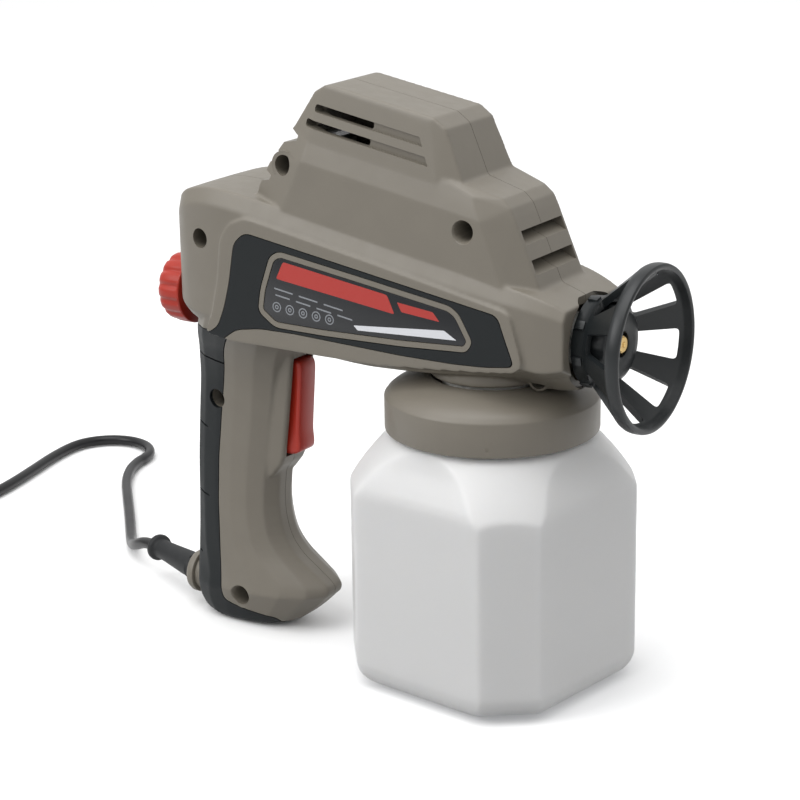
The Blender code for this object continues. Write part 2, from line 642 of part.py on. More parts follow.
def control_parts(mats):
    """The stroke control at the rear: a knob on a threaded spindle that sets the armature's stop."""
    axis = (1, 0, 0)
    knob = turned("control_knob", [(0, 10.8), (1.6, 13.2), (6.0, 15.2), (13.8, 15.2)],
                  (-158.5, 0, KNOB_Z), axis, mats["red"], 32)
    cut(knob, turned("knob_bore", [(0, 2.2), (9.0, 2.2)], (-152.5, 0, KNOB_Z), axis, segments=24))
    bush = [(0, 3.08), (0, 6.0), (5.0, 6.0), (5.2, 9.0), (10.0, 9.0), (10.0, 3.08), (0, 3.08)]
    turned("control_spindle", [(0, 2.0), (10.0, 2.0), (10.2, 3.0), (68.0, 3.0)],
           (-151.5, 0, KNOB_Z), axis, mats["steel"], 24)
    turned("spindle_bush", bush, (-142.4, 0, KNOB_Z), axis, mats["brass"], 24)
    turned("stop_buffer", [(0, 5.0), (8.7, 4.4)], (-83.1, 0, KNOB_Z), axis, mats["rubber"], 20)


# ---------------------------------------------------------------- trigger and switch

TRIGGER_OUTLINE = [
    (-90.4, 119.8), (-89.0, 116.0), (-89.8, 104.0), (-90.9, 90.0), (-90.6, 80.5), (-93.0, 78.2),
    (-103.0, 78.2), (-107.0, 82.0), (-107.0, 116.0), (-104.0, 119.8),
]


def trigger_parts(mats):
    """The trigger, the switch that it presses, and its return spring on a seat in the handle."""
    axis = (1, 0, 0)
    set_origin(prism("trigger", TRIGGER_OUTLINE, -6.3, 6.3, mats["red"]), TRIGGER_LINE)
    switch = box("trigger_switch", (-122.6, -5.2, 107.3), (-112.2, 5.2, 119.6), mats["black"])
    cut(switch, turned("plunger_hole", [(0, 1.8), (9.5, 1.8)], (-120.4, 0, 113.0), axis, segments=16))
    turned("switch_plunger", [(0, 1.5), (7.6, 1.5)], (-115.2, 0, 113.0), axis, mats["nylon"], 16)
    turned("trigger_spring", tube_profile(11.2, 3.4, 2.4), (-118.6, 0, 88.0), axis, mats["steel"], 16)
    box("spring_seat", (-124.0, -9.0, 82.0), (-119.0, 9.0, 94.0), mats["black"])


# ---------------------------------------------------------------- fasteners


def case_screws(mats):
    """Self-tapping screws from the right shell's deep holes into the left shell's posts."""
    head, shank = SCREW_HEAD_R, SCREW_SHANK_R
    profile = [(0, 2.2), (0.9, head), (2.4, head), (2.5, shank), (15.4, shank)]
    for name, (x, z, _) in CASE_SCREWS.items():
        turned(f"case_screw_{name}", profile, (x, -SCREW_SEAT_Y - 2.9, z), (0, 1, 0), mats["steel"], 12)


# ---------------------------------------------------------------- mains lead


def relief_profile(length):
    """A tapered sleeve with grooves and a flange at the cord's end."""
    return [
        (0, 5.7), (6.0, 5.6), (6.4, 4.7), (8.4, 4.7), (8.8, 5.3), (length * 0.5, 4.9),
        (length - 6.0, 4.4), (length - 4.6, 5.8), (length - 1.4, 6.0), (length, 5.0),
    ]


def cord_curve(name, route, finish):
    """A round tube along a smooth curve through the route's points."""
    points = smooth_route(route, CORD_D * 2.4)
    curve = bpy.data.curves.new(name, "CURVE")
    curve.dimensions = "3D"
    curve.bevel_depth = CORD_D / 2 * MM
    curve.bevel_resolution = 2
    curve.use_fill_caps = True
    spline = curve.splines.new("POLY")
    spline.points.add(len(points) - 1)
    for slot, point in zip(spline.points, points):
        slot.co = (*(c * MM for c in point), 1.0)
    curve.materials.append(finish)
    obj = bpy.data.objects.new(name, curve)
    bpy.context.scene.collection.objects.link(obj)
    return obj


def smooth_route(route, spacing):
    """Points a given distance apart on a Catmull-Rom curve through the route."""
    knots = [Vector(p) for p in route]
    knots = [2 * knots[0] - knots[1]] + knots + [2 * knots[-1] - knots[-2]]
    fine = []
    for a, b, c, d in zip(knots, knots[1:], knots[2:], knots[3:]):
        for step in range(24):
            t = step / 24
            bend, twist = 2 * a - 5 * b + 4 * c - d, 3 * b - a - 3 * c + d
            fine.append(0.5 * (2 * b + (c - a) * t + bend * t**2 + twist * t**3))
    fine.append(knots[-2])
    total = sum((q - p).length for p, q in zip(fine, fine[1:]))
    count = max(2, round(total / spacing))
    picked, walked, target = [fine[0]], 0.0, total / count
    for p, q in zip(fine, fine[1:]):
        walked += (q - p).length
        if walked >= target - 1e-6 and len(picked) < count:
            picked.append(q)
            target += total / count
    return picked + [fine[-1]]


def lead_parts(mats):
    """The gland, strain relief and clamp that hold the lead, and the lead with its coil."""
    ring = [(0, 6.25), (0, 8.6), (1.2, 9.4), (4.0, 9.4), (4.2, 7.9), (14.0, 7.9), (14.0, 6.25), (0, 6.25)]
    turned("cord_gland", ring, (-152.3, 0, GLAND_Z), (1, 0, 0), mats["housing"], 28)
    relief = turned("strain_relief", relief_profile(RELIEF_LENGTH), RELIEF_START, RELIEF_DIRECTION,
                    mats["rubber"], 20)
    join(relief, turned("strain_relief_inner", [(0, 5.0), (23.0, 5.0)], (-157.0, 0.7, GLAND_Z), (1, 0, 0),
                        segments=20))
    box("cord_clamp", (-131.0, -8.0, 17.4), (-125.0, 8.0, 20.6), mats["nylon"])
    cord_curve("cord_tube", CORD_ROUTE, mats["rubber"])
    low, high = COIL_MID_R - COIL_HALF_WIDTH, COIL_MID_R + COIL_HALF_WIDTH
    turned("cord_coil", tube_profile(COIL_HEIGHT, high, low), (*COIL_CENTRE, 0.1), (0, 0, 1),
           mats["rubber"], 36)


def plug_ring(x, y, z, wide, tall, corners=16):
    """A section across the plug: a rectangle with generously rounded corners."""
    ring = []
    for i in range(corners):
        angle = 2 * math.pi * (i + 0.5) / corners
        c, s = math.cos(angle), math.sin(angle)
        squareness = (abs(c) ** 4 + abs(s) ** 4) ** -0.25
        ring.append((x + wide * c * squareness, y, z + tall * s * squareness))
    return ring


def plug_parts(mats):
    """A flat two-pin plug lying beside the coil, its pins pointing away from it."""
    x, y, z = PLUG_REAR
    sections = [(0.0, 3.2, 3.2), (11.4, 4.4, 4.2), (14.4, 9.0, 6.4), (19.4, 15.6, 6.9), (35.4, 17.6, 6.9),
                (47.4, 17.6, 6.9), (PLUG_LENGTH, 16.6, 6.0)]
    rings = [plug_ring(x, y + distance, z, wide, tall) for distance, wide, tall in sections]
    plug = loft("plug_body", rings, mats["black"])
    front = y + PLUG_LENGTH
    for number, dx in enumerate((-PLUG_PIN_SPACING / 2, PLUG_PIN_SPACING / 2), 1):
        socket = [(0, PLUG_PIN_R + 0.35), (9.0, PLUG_PIN_R + 0.35)]
        pin = [(0, PLUG_PIN_R), (24.5, PLUG_PIN_R), (26.2, 0.55 * PLUG_PIN_R)]
        cut(plug, turned(f"plug_socket_{number}", socket, (x + dx, front - 8.0, z), (0, 1, 0), segments=12))
        turned(f"plug_pin_{number}", pin, (x + dx, front - 7.7, z), (0, 1, 0), mats["brass"], 12)


def build():
    clear_scene()
    mats = make_materials()
    for side, hand in ((1, "left"), (-1, "right")):
        housing_shell(f"housing_{hand}", side, mats["housing"])
        grip_shell(f"grip_{hand}", side, mats["grip"])
        label_y = sorted((side * (SIDE_Y - LABEL_BACK), side * (SIDE_Y - LABEL_TOP)))
        prism(f"label_{hand}", shifted_outline(LABEL_OUTLINE, -GAP), *label_y, mats["label"])
    container(mats["bottle"])
    container_lid(mats["housing"])
    suction_parts(mats)
    pump_body(mats["nylon"])
    nozzle_parts(mats)
    spray_guard(mats["black"])
    magnet_parts(mats)
    armature_parts(mats)
    control_parts(mats)
    trigger_parts(mats)
    case_screws(mats)
    lead_parts(mats)
    plug_parts(mats)


build()
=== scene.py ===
"""The looks of the electric paint spray gun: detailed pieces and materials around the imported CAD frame.

Lengths are millimetres in every function below, and MM turns them into the frame's metres. X points
forward along the nozzle, Y to the gun's left, Z up, with the origin under the paint container.
"""

import math

import bmesh
import bpy
from mathutils import Matrix, Vector


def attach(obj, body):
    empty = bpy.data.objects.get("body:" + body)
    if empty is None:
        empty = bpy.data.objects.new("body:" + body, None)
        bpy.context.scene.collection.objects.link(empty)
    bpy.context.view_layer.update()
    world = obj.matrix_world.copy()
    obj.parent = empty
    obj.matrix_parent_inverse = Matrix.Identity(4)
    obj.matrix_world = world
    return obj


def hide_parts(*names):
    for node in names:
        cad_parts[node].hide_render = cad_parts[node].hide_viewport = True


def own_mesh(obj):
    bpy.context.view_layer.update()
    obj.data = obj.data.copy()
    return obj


MM = 0.001
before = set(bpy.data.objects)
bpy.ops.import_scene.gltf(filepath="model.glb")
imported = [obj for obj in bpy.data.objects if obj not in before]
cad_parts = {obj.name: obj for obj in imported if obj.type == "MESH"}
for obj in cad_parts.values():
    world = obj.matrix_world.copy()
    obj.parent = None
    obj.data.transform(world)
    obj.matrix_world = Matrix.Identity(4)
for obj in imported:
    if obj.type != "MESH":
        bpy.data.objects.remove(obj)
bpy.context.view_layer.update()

# Main places, as in the CAD model
NOZZLE_Z, KNOB_Z, GLAND_Z = 146.6, 143.4, 13.6
HOOD_TILT, HOOD_Z = math.radians(-10.5), 175.0
BODY_Y, SIDE_Y = 28.6, 29.5       # half widths of the body and of the plateau raised on its sides
PARTING = 0.12                    # half of the gap between the two shells
HANDS = ((1, "left"), (-1, "right"))
BOTTLE_WIDTH, BOTTLE_CHAMFER, BOTTLE_YAW = 97.6, 17.3, math.radians(-8.0)

# How finely the moulded forms are meshed, and how far their edges are rounded
VOXEL = 0.7
ROUNDING_STEPS = 4

# ---------------------------------------------------------------- meshes


def mesh_object(name, points, faces):
    mesh = bpy.data.meshes.new(name)
    mesh.from_pydata([tuple(c * MM for c in p) for p in points], [], faces)
    obj = bpy.data.objects.new(name, mesh)
    bpy.context.scene.collection.objects.link(obj)
    edit(obj, lambda bm: bmesh.ops.recalc_face_normals(bm, faces=bm.faces))
    return obj


def edit(obj, change):
    """Runs one bmesh change on the object's mesh."""
    bm = bmesh.new()
    bm.from_mesh(obj.data)
    change(bm)
    bm.to_mesh(obj.data)
    bm.free()
    return obj


def loft(name, rings, closed=False):
    """A solid through rings of equally many points, capped at both ends or closed on its first ring."""
    count, levels = len(rings[0]), len(rings)
    faces = []
    for level in range(levels if closed else levels - 1):
        low, high = level * count, (level + 1) % levels * count
        faces += [(low + i, low + (i + 1) % count, high + (i + 1) % count, high + i) for i in range(count)]
    if not closed:
        faces += [tuple(range(count)), tuple((levels - 1) * count + i for i in range(count))]
    return mesh_object(name, [p for ring in rings for p in ring], faces)


def smooth_loft(name, rings, steps):
    """A loft through rings, with steps levels on smooth curves from each ring to the next."""
    columns = [catmull([ring[i] for ring in rings], steps) for i in range(len(rings[0]))]
    return loft(name, [[tuple(point) for point in level] for level in zip(*columns)])


def hull(name, points):
    """The smallest solid with flat facets around the points."""
    obj = mesh_object(name, points, [])

    def wrap(bm):
        bmesh.ops.convex_hull(bm, input=bm.verts)
        loose = [v for v in bm.verts if not v.link_faces]
        bmesh.ops.delete(bm, geom=loose, context="VERTS")
        bmesh.ops.recalc_face_normals(bm, faces=bm.faces)

    return edit(obj, wrap)


def prism(name, outline, y_low, y_high):
    return loft(name, [[(x, y, z) for x, z in outline] for y in (y_low, y_high)])


def box(name, low, high):
    low, high = tuple(map(min, low, high)), tuple(map(max, low, high))
    (x0, y0, z0), (x1, y1, z1) = low, high
    return loft(name, [[(x0, y0, z), (x1, y0, z), (x1, y1, z), (x0, y1, z)] for z in (z0, z1)])


def span(side, near, far):
    """The two ends of a stretch across the gun's given side, the lower one first."""
    return sorted((side * near, side * far))


def axis_frame(direction):
    along = Vector(direction).normalized()
    side = Vector((0, 1, 0)) if abs(along.y) < 0.9 else Vector((1, 0, 0))
    side = (side - along * side.dot(along)).normalized()
    return along, side, along.cross(side)


def turned(name, profile, start, direction, segments=64, flute=None):
    """A profile of (distance along the axis, radius) turned about the axis.

    A profile whose first point is repeated at its end makes a ring. flute(angle, distance) scales
    the radius.
    """
    along, side, other = axis_frame(direction)
    start = Vector(start)
    closed = profile[0] == profile[-1]
    rings = []
    for distance, radius in profile[:-1] if closed else profile:
        ring = []
        for i in range(segments):
            angle = 2 * math.pi * i / segments
            reach = radius * (flute(angle, distance) if flute else 1.0)
            offset = side * math.cos(angle) + other * math.sin(angle)
            ring.append(tuple(start + along * distance + offset * reach))
        rings.append(ring)
    return loft(name, rings, closed)


def catmull(points, steps):
    """Points on a smooth curve through the given ones."""
    knots = [Vector(p) for p in points]
    knots = [2 * knots[0] - knots[1]] + knots + [2 * knots[-1] - knots[-2]]
    out = []
    for a, b, c, d in zip(knots, knots[1:], knots[2:], knots[3:]):
        for step in range(steps):
            t = step / steps
            square, cube = (2 * a - 5 * b + 4 * c - d) * t**2, (3 * b - a - 3 * c + d) * t**3
            out.append(0.5 * (2 * b + (c - a) * t + square + cube))
    return out + [knots[-2]]


def smooth_outline(outline, radius, steps=5):
    """The outline with each corner rounded to about radius."""
    out = []
    count = len(outline)
    for i, point in enumerate(outline):
        here, before, after = Vector(point), Vector(outline[i - 1]), Vector(outline[(i + 1) % count])
        back, ahead = before - here, after - here
        reach = min(radius, back.length * 0.45, ahead.length * 0.45)
        start, end = here + back.normalized() * reach, here + ahead.normalized() * reach
        for step in range(steps + 1):
            t = step / steps
            out.append(tuple(start * (1 - t) ** 2 + here * 2 * t * (1 - t) + end * t**2))
    return out


def apply_modifiers(obj):
    graph = bpy.context.evaluated_depsgraph_get()
    mesh = bpy.data.meshes.new_from_object(obj.evaluated_get(graph))
    obj.modifiers.clear()
    obj.data = mesh
    return obj


def combine(obj, others, operation):
    """Unites or cuts with the other solids, which are used up."""
    for other in others:
        step = obj.modifiers.new(operation, "BOOLEAN")
        step.operation, step.solver, step.object = operation, "MANIFOLD", other
    apply_modifiers(obj)
    for other in others:
        bpy.data.objects.remove(other, do_unlink=True)
    return obj


def join(obj, *others):
    return combine(obj, others, "UNION")


def cut(obj, *others):
    return combine(obj, others, "DIFFERENCE")


def keep_inside(obj, other):
    return combine(obj, [other], "INTERSECT")


def copy_of(obj, name):
    twin = bpy.data.objects.new(name, obj.data.copy())
    bpy.context.scene.collection.objects.link(twin)
    return twin


def rounded(obj, voxel=VOXEL, rounds=ROUNDING_STEPS, thin=0.3):
    """Remeshes the solid evenly, rounds its edges and thins the mesh out where it is flat."""
    remesh = obj.modifiers.new("remesh", "REMESH")
    remesh.mode, remesh.voxel_size = "VOXEL", voxel * MM
    smooth = obj.modifiers.new("smooth", "SMOOTH")
    smooth.factor, smooth.iterations = 0.5, rounds
    if thin < 1:
        decimate = obj.modifiers.new("thin", "DECIMATE")
        decimate.ratio = thin
    return apply_modifiers(obj)


def bevelled(obj, width):
    step = obj.modifiers.new("bevel", "BEVEL")
    step.width, step.segments = width * MM, 2
    step.limit_method, step.angle_limit = "ANGLE", math.radians(35)
    return apply_modifiers(obj)


def shade(obj, angle=30):
    obj.data.shade_smooth()
    obj.data.set_sharp_from_angle(angle=math.radians(angle))
    return obj


def finish_piece(obj, material, body, slot, *nodes, angle=30):
    """Shades and paints a piece, ties it to its body and hides the nodes it stands for; its slot is not used.
    """
    shade(obj, angle)
    obj.data.materials.clear()
    obj.data.materials.append(MATERIALS[material])
    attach(obj, body)
    if nodes:
        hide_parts(*nodes)
    return obj


# ---------------------------------------------------------------- materials


class Shader:
    """A node material built up one link at a time."""

    def __init__(self, name, colour, roughness, metallic=0.0):
        self.made = bpy.data.materials.new(name)
        self.made.use_nodes = True
        self.tree = self.made.node_tree
        self.surface = self.tree.nodes["Principled BSDF"]
        self.surface.inputs["Base Color"].default_value = (*colour, 1.0)
        self.surface.inputs["Roughness"].default_value = roughness
        self.surface.inputs["Metallic"].default_value = metallic
        self.places = self.tree.nodes.new("ShaderNodeTexCoord").outputs["Object"]
        self.colour = colour

    def node(self, kind, **values):
        made = self.tree.nodes.new("ShaderNode" + kind)
        for key, value in values.items():
            if key in made.inputs:
                made.inputs[key].default_value = value
            else:
                setattr(made, key, value)
        return made

    def noise(self, size, detail=3.0, stretch=None):
        """A cloudy pattern whose features are about size millimetres across."""
        made = self.node("TexNoise", Scale=1000.0 / size, Detail=detail)
        places = self.places
        if stretch:
            scaled = self.node("Mapping", Scale=stretch)
            self.tree.links.new(places, scaled.inputs["Vector"])
            places = scaled.outputs["Vector"]
        self.tree.links.new(places, made.inputs["Vector"])
        return made.outputs["Fac"]

    def vary_colour(self, source, dark, light):
        """The base colour between dark and light times itself."""
        ramp = self.node("ValToRGB")
        for stop, factor, at in zip(ramp.color_ramp.elements, (dark, light), (0.3, 0.7)):
            stop.position = at
            stop.color = (*(min(1.0, c * factor) for c in self.colour), 1.0)
        self.tree.links.new(source, ramp.inputs["Fac"])
        self.tree.links.new(ramp.outputs["Color"], self.surface.inputs["Base Color"])
        return self

    def vary_roughness(self, source, low, high):
        spread = self.node("MapRange")
        spread.inputs["To Min"].default_value = low
        spread.inputs["To Max"].default_value = high
        self.tree.links.new(source, spread.inputs["Value"])
        self.tree.links.new(spread.outputs["Result"], self.surface.inputs["Roughness"])
        return self

    def bump(self, source, height):
        """Raises the surface by up to height millimetres."""
        made = self.node("Bump", Strength=1.0, Distance=height * MM)
        before = self.surface.inputs["Normal"]
        if before.is_linked:
            self.tree.links.new(before.links[0].from_socket, made.inputs["Normal"])
        self.tree.links.new(source, made.inputs["Height"])
        self.tree.links.new(made.outputs["Normal"], before)
        return self

    def set(self, **values):
        for key, value in values.items():
            self.surface.inputs[key.replace("_", " ")].default_value = value
        return self


def moulded_plastic(name, colour, roughness, grain=0.35, depth=0.02, spread=0.08, gloss=0.5):
    """Injection moulded plastic: a spark-eroded grain, faint flow clouds and uneven gloss."""
    shader = Shader(name, colour, roughness)
    shader.vary_colour(shader.noise(14.0, 4.0), 1 - 0.35 * spread, 1 + 0.35 * spread)
    shader.vary_roughness(shader.noise(6.0), roughness - spread, roughness + spread)
    shader.bump(shader.noise(grain, 2.0), depth)
    return shader.set(Specular_IOR_Level=gloss)


def make_materials():
    steel = Shader("bright_steel", (0.56, 0.56, 0.57), 0.3, 1.0)
    steel.vary_roughness(steel.noise(1.2, stretch=(1, 1, 12)), 0.2, 0.42)
    steel.bump(steel.noise(0.5, stretch=(1, 1, 20)), 0.01)
    brass = Shader("turned_brass", (0.72, 0.5, 0.2), 0.28, 1.0)
    brass.vary_colour(brass.noise(4.0), 0.85, 1.08)
    brass.bump(brass.noise(0.4, stretch=(8, 1, 1)), 0.01)
    copper = Shader("enamelled_copper", (0.55, 0.19, 0.07), 0.3, 0.9)
    copper.vary_colour(copper.noise(1.0, stretch=(10, 1, 1)), 0.7, 1.15)
    copper.bump(copper.noise(0.5, stretch=(12, 1, 1)), 0.15)
    bottle = Shader("milky_polyethylene", (0.93, 0.945, 0.97), 0.42)
    bottle.vary_roughness(bottle.noise(20.0), 0.36, 0.5)
    bottle.bump(bottle.noise(1.5, 2.0), 0.015)
    bottle.set(Subsurface_Weight=0.6, Subsurface_Scale=0.02, Transmission_Weight=0.12)
    bottle.surface.inputs["Subsurface Radius"].default_value = (1.0, 1.05, 1.15)
    cord = Shader("cord_sheath", (0.007, 0.007, 0.008), 0.34)
    cord.set(Specular_IOR_Level=0.3)
    cord.vary_roughness(cord.noise(8.0), 0.26, 0.4)
    cord.bump(cord.noise(0.8, 2.0), 0.02)
    return {
        "housing": moulded_plastic("housing_plastic", (0.145, 0.13, 0.105), 0.46, 0.35, 0.016).made,
        "grip": moulded_plastic("soft_grip", (0.007, 0.009, 0.01), 0.5, 0.3, 0.02, 0.06, 0.2).made,
        "label": moulded_plastic("label_film", (0.008, 0.009, 0.011), 0.26, 0.8, 0.004, 0.03, 0.35).made,
        "red": moulded_plastic("red_plastic", (0.33, 0.02, 0.009), 0.36, 0.5, 0.01, 0.05, 0.35).made,
        "black": moulded_plastic("black_plastic", (0.009, 0.011, 0.012), 0.36, 0.5, 0.01, 0.06, 0.35).made,
        "nylon": moulded_plastic("white_nylon", (0.72, 0.71, 0.67), 0.45, 0.5, 0.01).made,
        "rubber": moulded_plastic("black_rubber", (0.01, 0.011, 0.012), 0.55, 0.4, 0.02, 0.08, 0.3).made,
        "bottle": bottle.made,
        "steel": steel.made,
        "brass": brass.made,
        "copper": copper.made,
        "cord": cord.made,
        "print_red": Shader("printed_red", (0.36, 0.014, 0.007), 0.3).made,
        "print_white": Shader("printed_white", (0.62, 0.63, 0.66), 0.35).made,
        "print_grey": Shader("printed_grey", (0.2, 0.21, 0.23), 0.35).made,
    }


MATERIALS = make_materials()

# ---------------------------------------------------------------- the housing's outer form


def hood_point(u, y, v):
    """A point of the tilted hood frame: u forward, v up, measured from the belt line."""
    x = u * math.cos(HOOD_TILT) - v * math.sin(HOOD_TILT)
    return (x, y, HOOD_Z + u * math.sin(HOOD_TILT) + v * math.cos(HOOD_TILT))


def hood_outline(corners):
    """The side view (x, z) of (u, v) corners in the hood frame."""
    return [(x, z) for x, _, z in (hood_point(u, 0, v) for u, v in corners)]


def both_sides(points):
    return points + [(u, -y, v) for u, y, v in points]


def hood_hull(name, points):
    return hull(name, [hood_point(*p) for p in both_sides(points)])


SIDE_FLARE = ((51.5, 18.4), (31.5, 21.3), (20.0, 24.6), (-1.5, 25.8), (-14.0, 26.4))


def flare(v):
    """Half width of the hood's sides at height v."""
    for (high, y_high), (low, y_low) in zip(SIDE_FLARE, SIDE_FLARE[1:]):
        if v >= low:
            return y_low + (y_high - y_low) * (v - low) / (high - low)
    return SIDE_FLARE[-1][1]


def upper_hood():
    """The faceted cover over the electromagnet: a narrow top on a part whose sides flare out."""
    top, step = 51.5, 31.5
    cap = hood_hull("upper_hood", [
        (-73.5, 17.6, top), (-75.5, 18.4, top - 0.6), (-25.0, 17.6, top), (-25.5, 18.4, top - 0.6),
        (-18.8, 17.6, 48.6), (-27.0, 18.9, 48.6), (-7.6, 19.0, step), (-17.0, flare(step), step),
        (-80.5, 17.0, 47.0), (-87.4, 17.4, step), (-77.5, flare(step), step), (-77.5, flare(28.0), 28.0),
        (-88.2, 17.4, 28.0), (-17.0, flare(28.0), 28.0), (-7.0, 19.0, 28.0),
    ])
    foot = hood_hull("upper_hood_foot", [
        (-7.6, 19.0, step), (-17.0, flare(step), step), (-87.4, 17.4, step), (-77.5, flare(step), step),
        (-92.3, 18.0, 21.0), (-97.0, 18.6, 12.5), (-99.8, 19.2, 3.0), (-78.0, flare(20.0), 20.0),
        (-16.0, flare(20.0), 20.0), (-2.0, 19.8, 10.0), (-83.0, flare(-1.5), -1.5),
        (-16.0, flare(-1.5), -1.5), (-2.0, 20.0, -14.0), (-101.0, 20.0, -14.0),
        (-84.0, flare(-14.0), -14.0), (-16.0, flare(-14.0), -14.0),
    ])
    return join(cap, foot)


def lower_hood():
    """The wider step in front, whose face holds the air vents."""
    return hood_hull("lower_hood", [
        (-40.0, flare(30.8) - 0.2, 30.8), (-6.0, 19.0, 30.6), (-12.0, flare(30.4) - 0.3, 30.4),
        (9.6, 16.4, 28.8), (-0.5, flare(28.0) - 0.2, 28.0), (13.8, 16.8, 26.2), (2.0, flare(24.0), 24.0),
        (16.2, 17.0, 23.0), (-60.0, flare(20.0), 20.0), (5.5, flare(20.0), 20.0), (17.9, 17.2, 19.2),
        (19.5, flare(-1.5), -1.5), (32.0, 17.3, -1.0), (-60.0, flare(-14.0), -14.0),
        (22.0, flare(-14.0), -14.0), (35.0, 17.3, -14.0), (-60.0, 15.0, -14.0),
    ])


def belt_z(x, v):
    """Height of the line at height v of the hood frame, at x."""
    u = (x + v * math.sin(HOOD_TILT)) / math.cos(HOOD_TILT)
    return HOOD_Z + u * math.sin(HOOD_TILT) + v * math.cos(HOOD_TILT)


def body_section(x, side_y, top_v, edge_v, low_side_z, low_side_y, low_z):
    """A section across the lower body at x, from its top shelf down to its keel."""
    top, edge = belt_z(x, top_v), belt_z(x, edge_v)
    half = [
        (0.35 * side_y, top + 0.2), (0.885 * side_y, top), (0.983 * side_y, top - 0.8 * (top - edge)),
        (side_y, edge), (side_y, 0.5 * (edge + low_side_z)), (side_y, low_side_z + 4.5),
        (low_side_y + 1.5, low_side_z + 0.6), (low_side_y * 0.55, low_z + 0.5), (low_side_y * 0.2, low_z),
    ]
    return [(x, y, z) for y, z in half] + [(x, -y, z) for y, z in reversed(half)]


PLATEAU = [
    (-98.0, 184.4), (-106.5, 180.8), (-110.6, 174.0), (-112.4, 158.0), (-116.0, 143.0), (-120.0, 134.0),
    (-104.0, 131.6), (-92.0, 132.2), (-62.0, 131.8), (-33.7, 132.2), (-10.0, 134.0), (10.0, 135.8),
    (26.7, 137.7), (30.2, 140.6), (29.8, 144.0), (24.6, 161.0), (-40.0, 173.8),
]


def side_plateau():
    """The flat raised area on each side that carries the grip panel and the label."""
    return prism("plateau", smooth_outline(PLATEAU, 3.0), -SIDE_Y, SIDE_Y)


def lower_body():
    """The long body from the rounded rear end, over the handle, to the nose."""
    stations = [
        (-144.2, 7.0, -22.8, -27.5, 145.6, 5.0, 141.8), (-143.2, 11.5, -19.0, -24.5, 144.0, 8.5, 140.2),
        (-141.4, 15.8, -15.2, -21.6, 141.5, 12.0, 138.0), (-137.8, 20.6, -11.6, -18.4, 139.5, 16.0, 136.6),
        (-131.5, 24.8, -7.3, -14.0, 137.6, 20.0, 135.6), (-122.0, 27.4, -3.6, -10.4, 136.6, 23.6, 135.0),
        (-112.0, BODY_Y, -1.9, -8.6, 136.2, 25.0, 134.4), (-100.0, BODY_Y, -1.2, -8.0, 135.4, 25.0, 132.6),
        (-80.0, BODY_Y, -1.0, -8.0, 133.2, 25.0, 130.0), (-48.0, BODY_Y, -1.0, -8.0, 129.8, 25.0, 127.8),
        (-18.0, BODY_Y, -1.0, -8.0, 130.6, 25.0, 128.0), (8.0, BODY_Y, -1.0, -7.6, 133.2, 25.0, 129.6),
        (27.0, 27.8, -1.2, -7.0, 134.6, 20.0, 127.6), (37.0, 26.2, -2.2, -7.2, 134.0, 17.0, 127.0),
        (45.2, 24.0, -4.0, -8.0, 135.4, 14.0, 128.2),
    ]
    return smooth_loft("lower_body", [body_section(*station) for station in stations], 4)


def handle_ring(z, back, front, half, rise=0.0):
    """A plan outline of the handle at height z, rounder at its back than at its front."""
    depth = front - back
    side = [
        (back, 0.14 * half), (back + 0.015 * depth, 0.42 * half), (back + 0.08 * depth, 0.72 * half),
        (back + 0.20 * depth, 0.92 * half), (back + 0.36 * depth, 0.99 * half), (back + 0.55 * depth, half),
        (back + 0.74 * depth, 0.93 * half), (back + 0.90 * depth, 0.70 * half), (front, 0.30 * half),
    ]
    outline = side + [(x, -y) for x, y in reversed(side)]
    return [(x, y, z + rise * (x - back) / depth) for x, y in outline]


def handle():
    """The handle: a swept grip with a toe at the bottom of its front."""
    rings = [
        handle_ring(0.2, -136.5, -100.5, 12.0, 1.2), handle_ring(1.0, -140.0, -96.8, 13.2, 1.4),
        handle_ring(3.2, -143.4, -92.6, 14.4, 1.6), handle_ring(8.0, -146.4, -86.4, 15.8, 1.8),
        handle_ring(13.6, -147.2, -80.2, 17.3, 2.2), handle_ring(15.2, -147.2, -78.6, 17.5, 2.4),
        handle_ring(19.5, -147.0, -78.8, 16.9, 1.6),
        handle_ring(25.5, -146.3, -85.6, 16.4, 0.8), handle_ring(32.5, -145.4, -94.6, 16.0, 0.3),
        handle_ring(41.0, -144.5, -100.6, 15.7), handle_ring(54.0, -143.8, -103.2, 15.4),
        handle_ring(70.0, -143.5, -101.8, 15.3), handle_ring(90.0, -142.3, -98.6, 15.4),
        handle_ring(106.0, -140.7, -96.0, 16.2), handle_ring(112.0, -140.1, -94.8, 17.0),
        handle_ring(118.0, -139.4, -93.2, 18.6), handle_ring(124.0, -138.4, -90.0, 21.0),
        handle_ring(129.0, -137.4, -86.0, 24.0), handle_ring(134.0, -136.0, -79.5, 27.0),
        handle_ring(139.0, -134.4, -72.0, 29.0), handle_ring(142.0, -133.2, -68.0, 29.2),
    ]
    return smooth_loft("handle", rings, 3)


TRIGGER_RIM_FRONT = (
    (68.0, -103.0), (73.5, -98.6), (77.0, -97.0), (96.0, -94.6), (120.0, -92.2), (126.0, -91.0),
)


def trigger_rim():
    """The raised frame in the handle's front that the trigger slides in."""
    points = []
    for z, front in TRIGGER_RIM_FRONT:
        points += [(front, 7.6, z), (front - 0.9, 9.0, z), (front - 11.0, 11.0, z)]
    return hull("trigger_rim", both_sides(points))


BOSS_END, BOSS_AXIS = Vector((28.5, -13.0, 130.4)), Vector((-0.3, 0.95, 0.08))


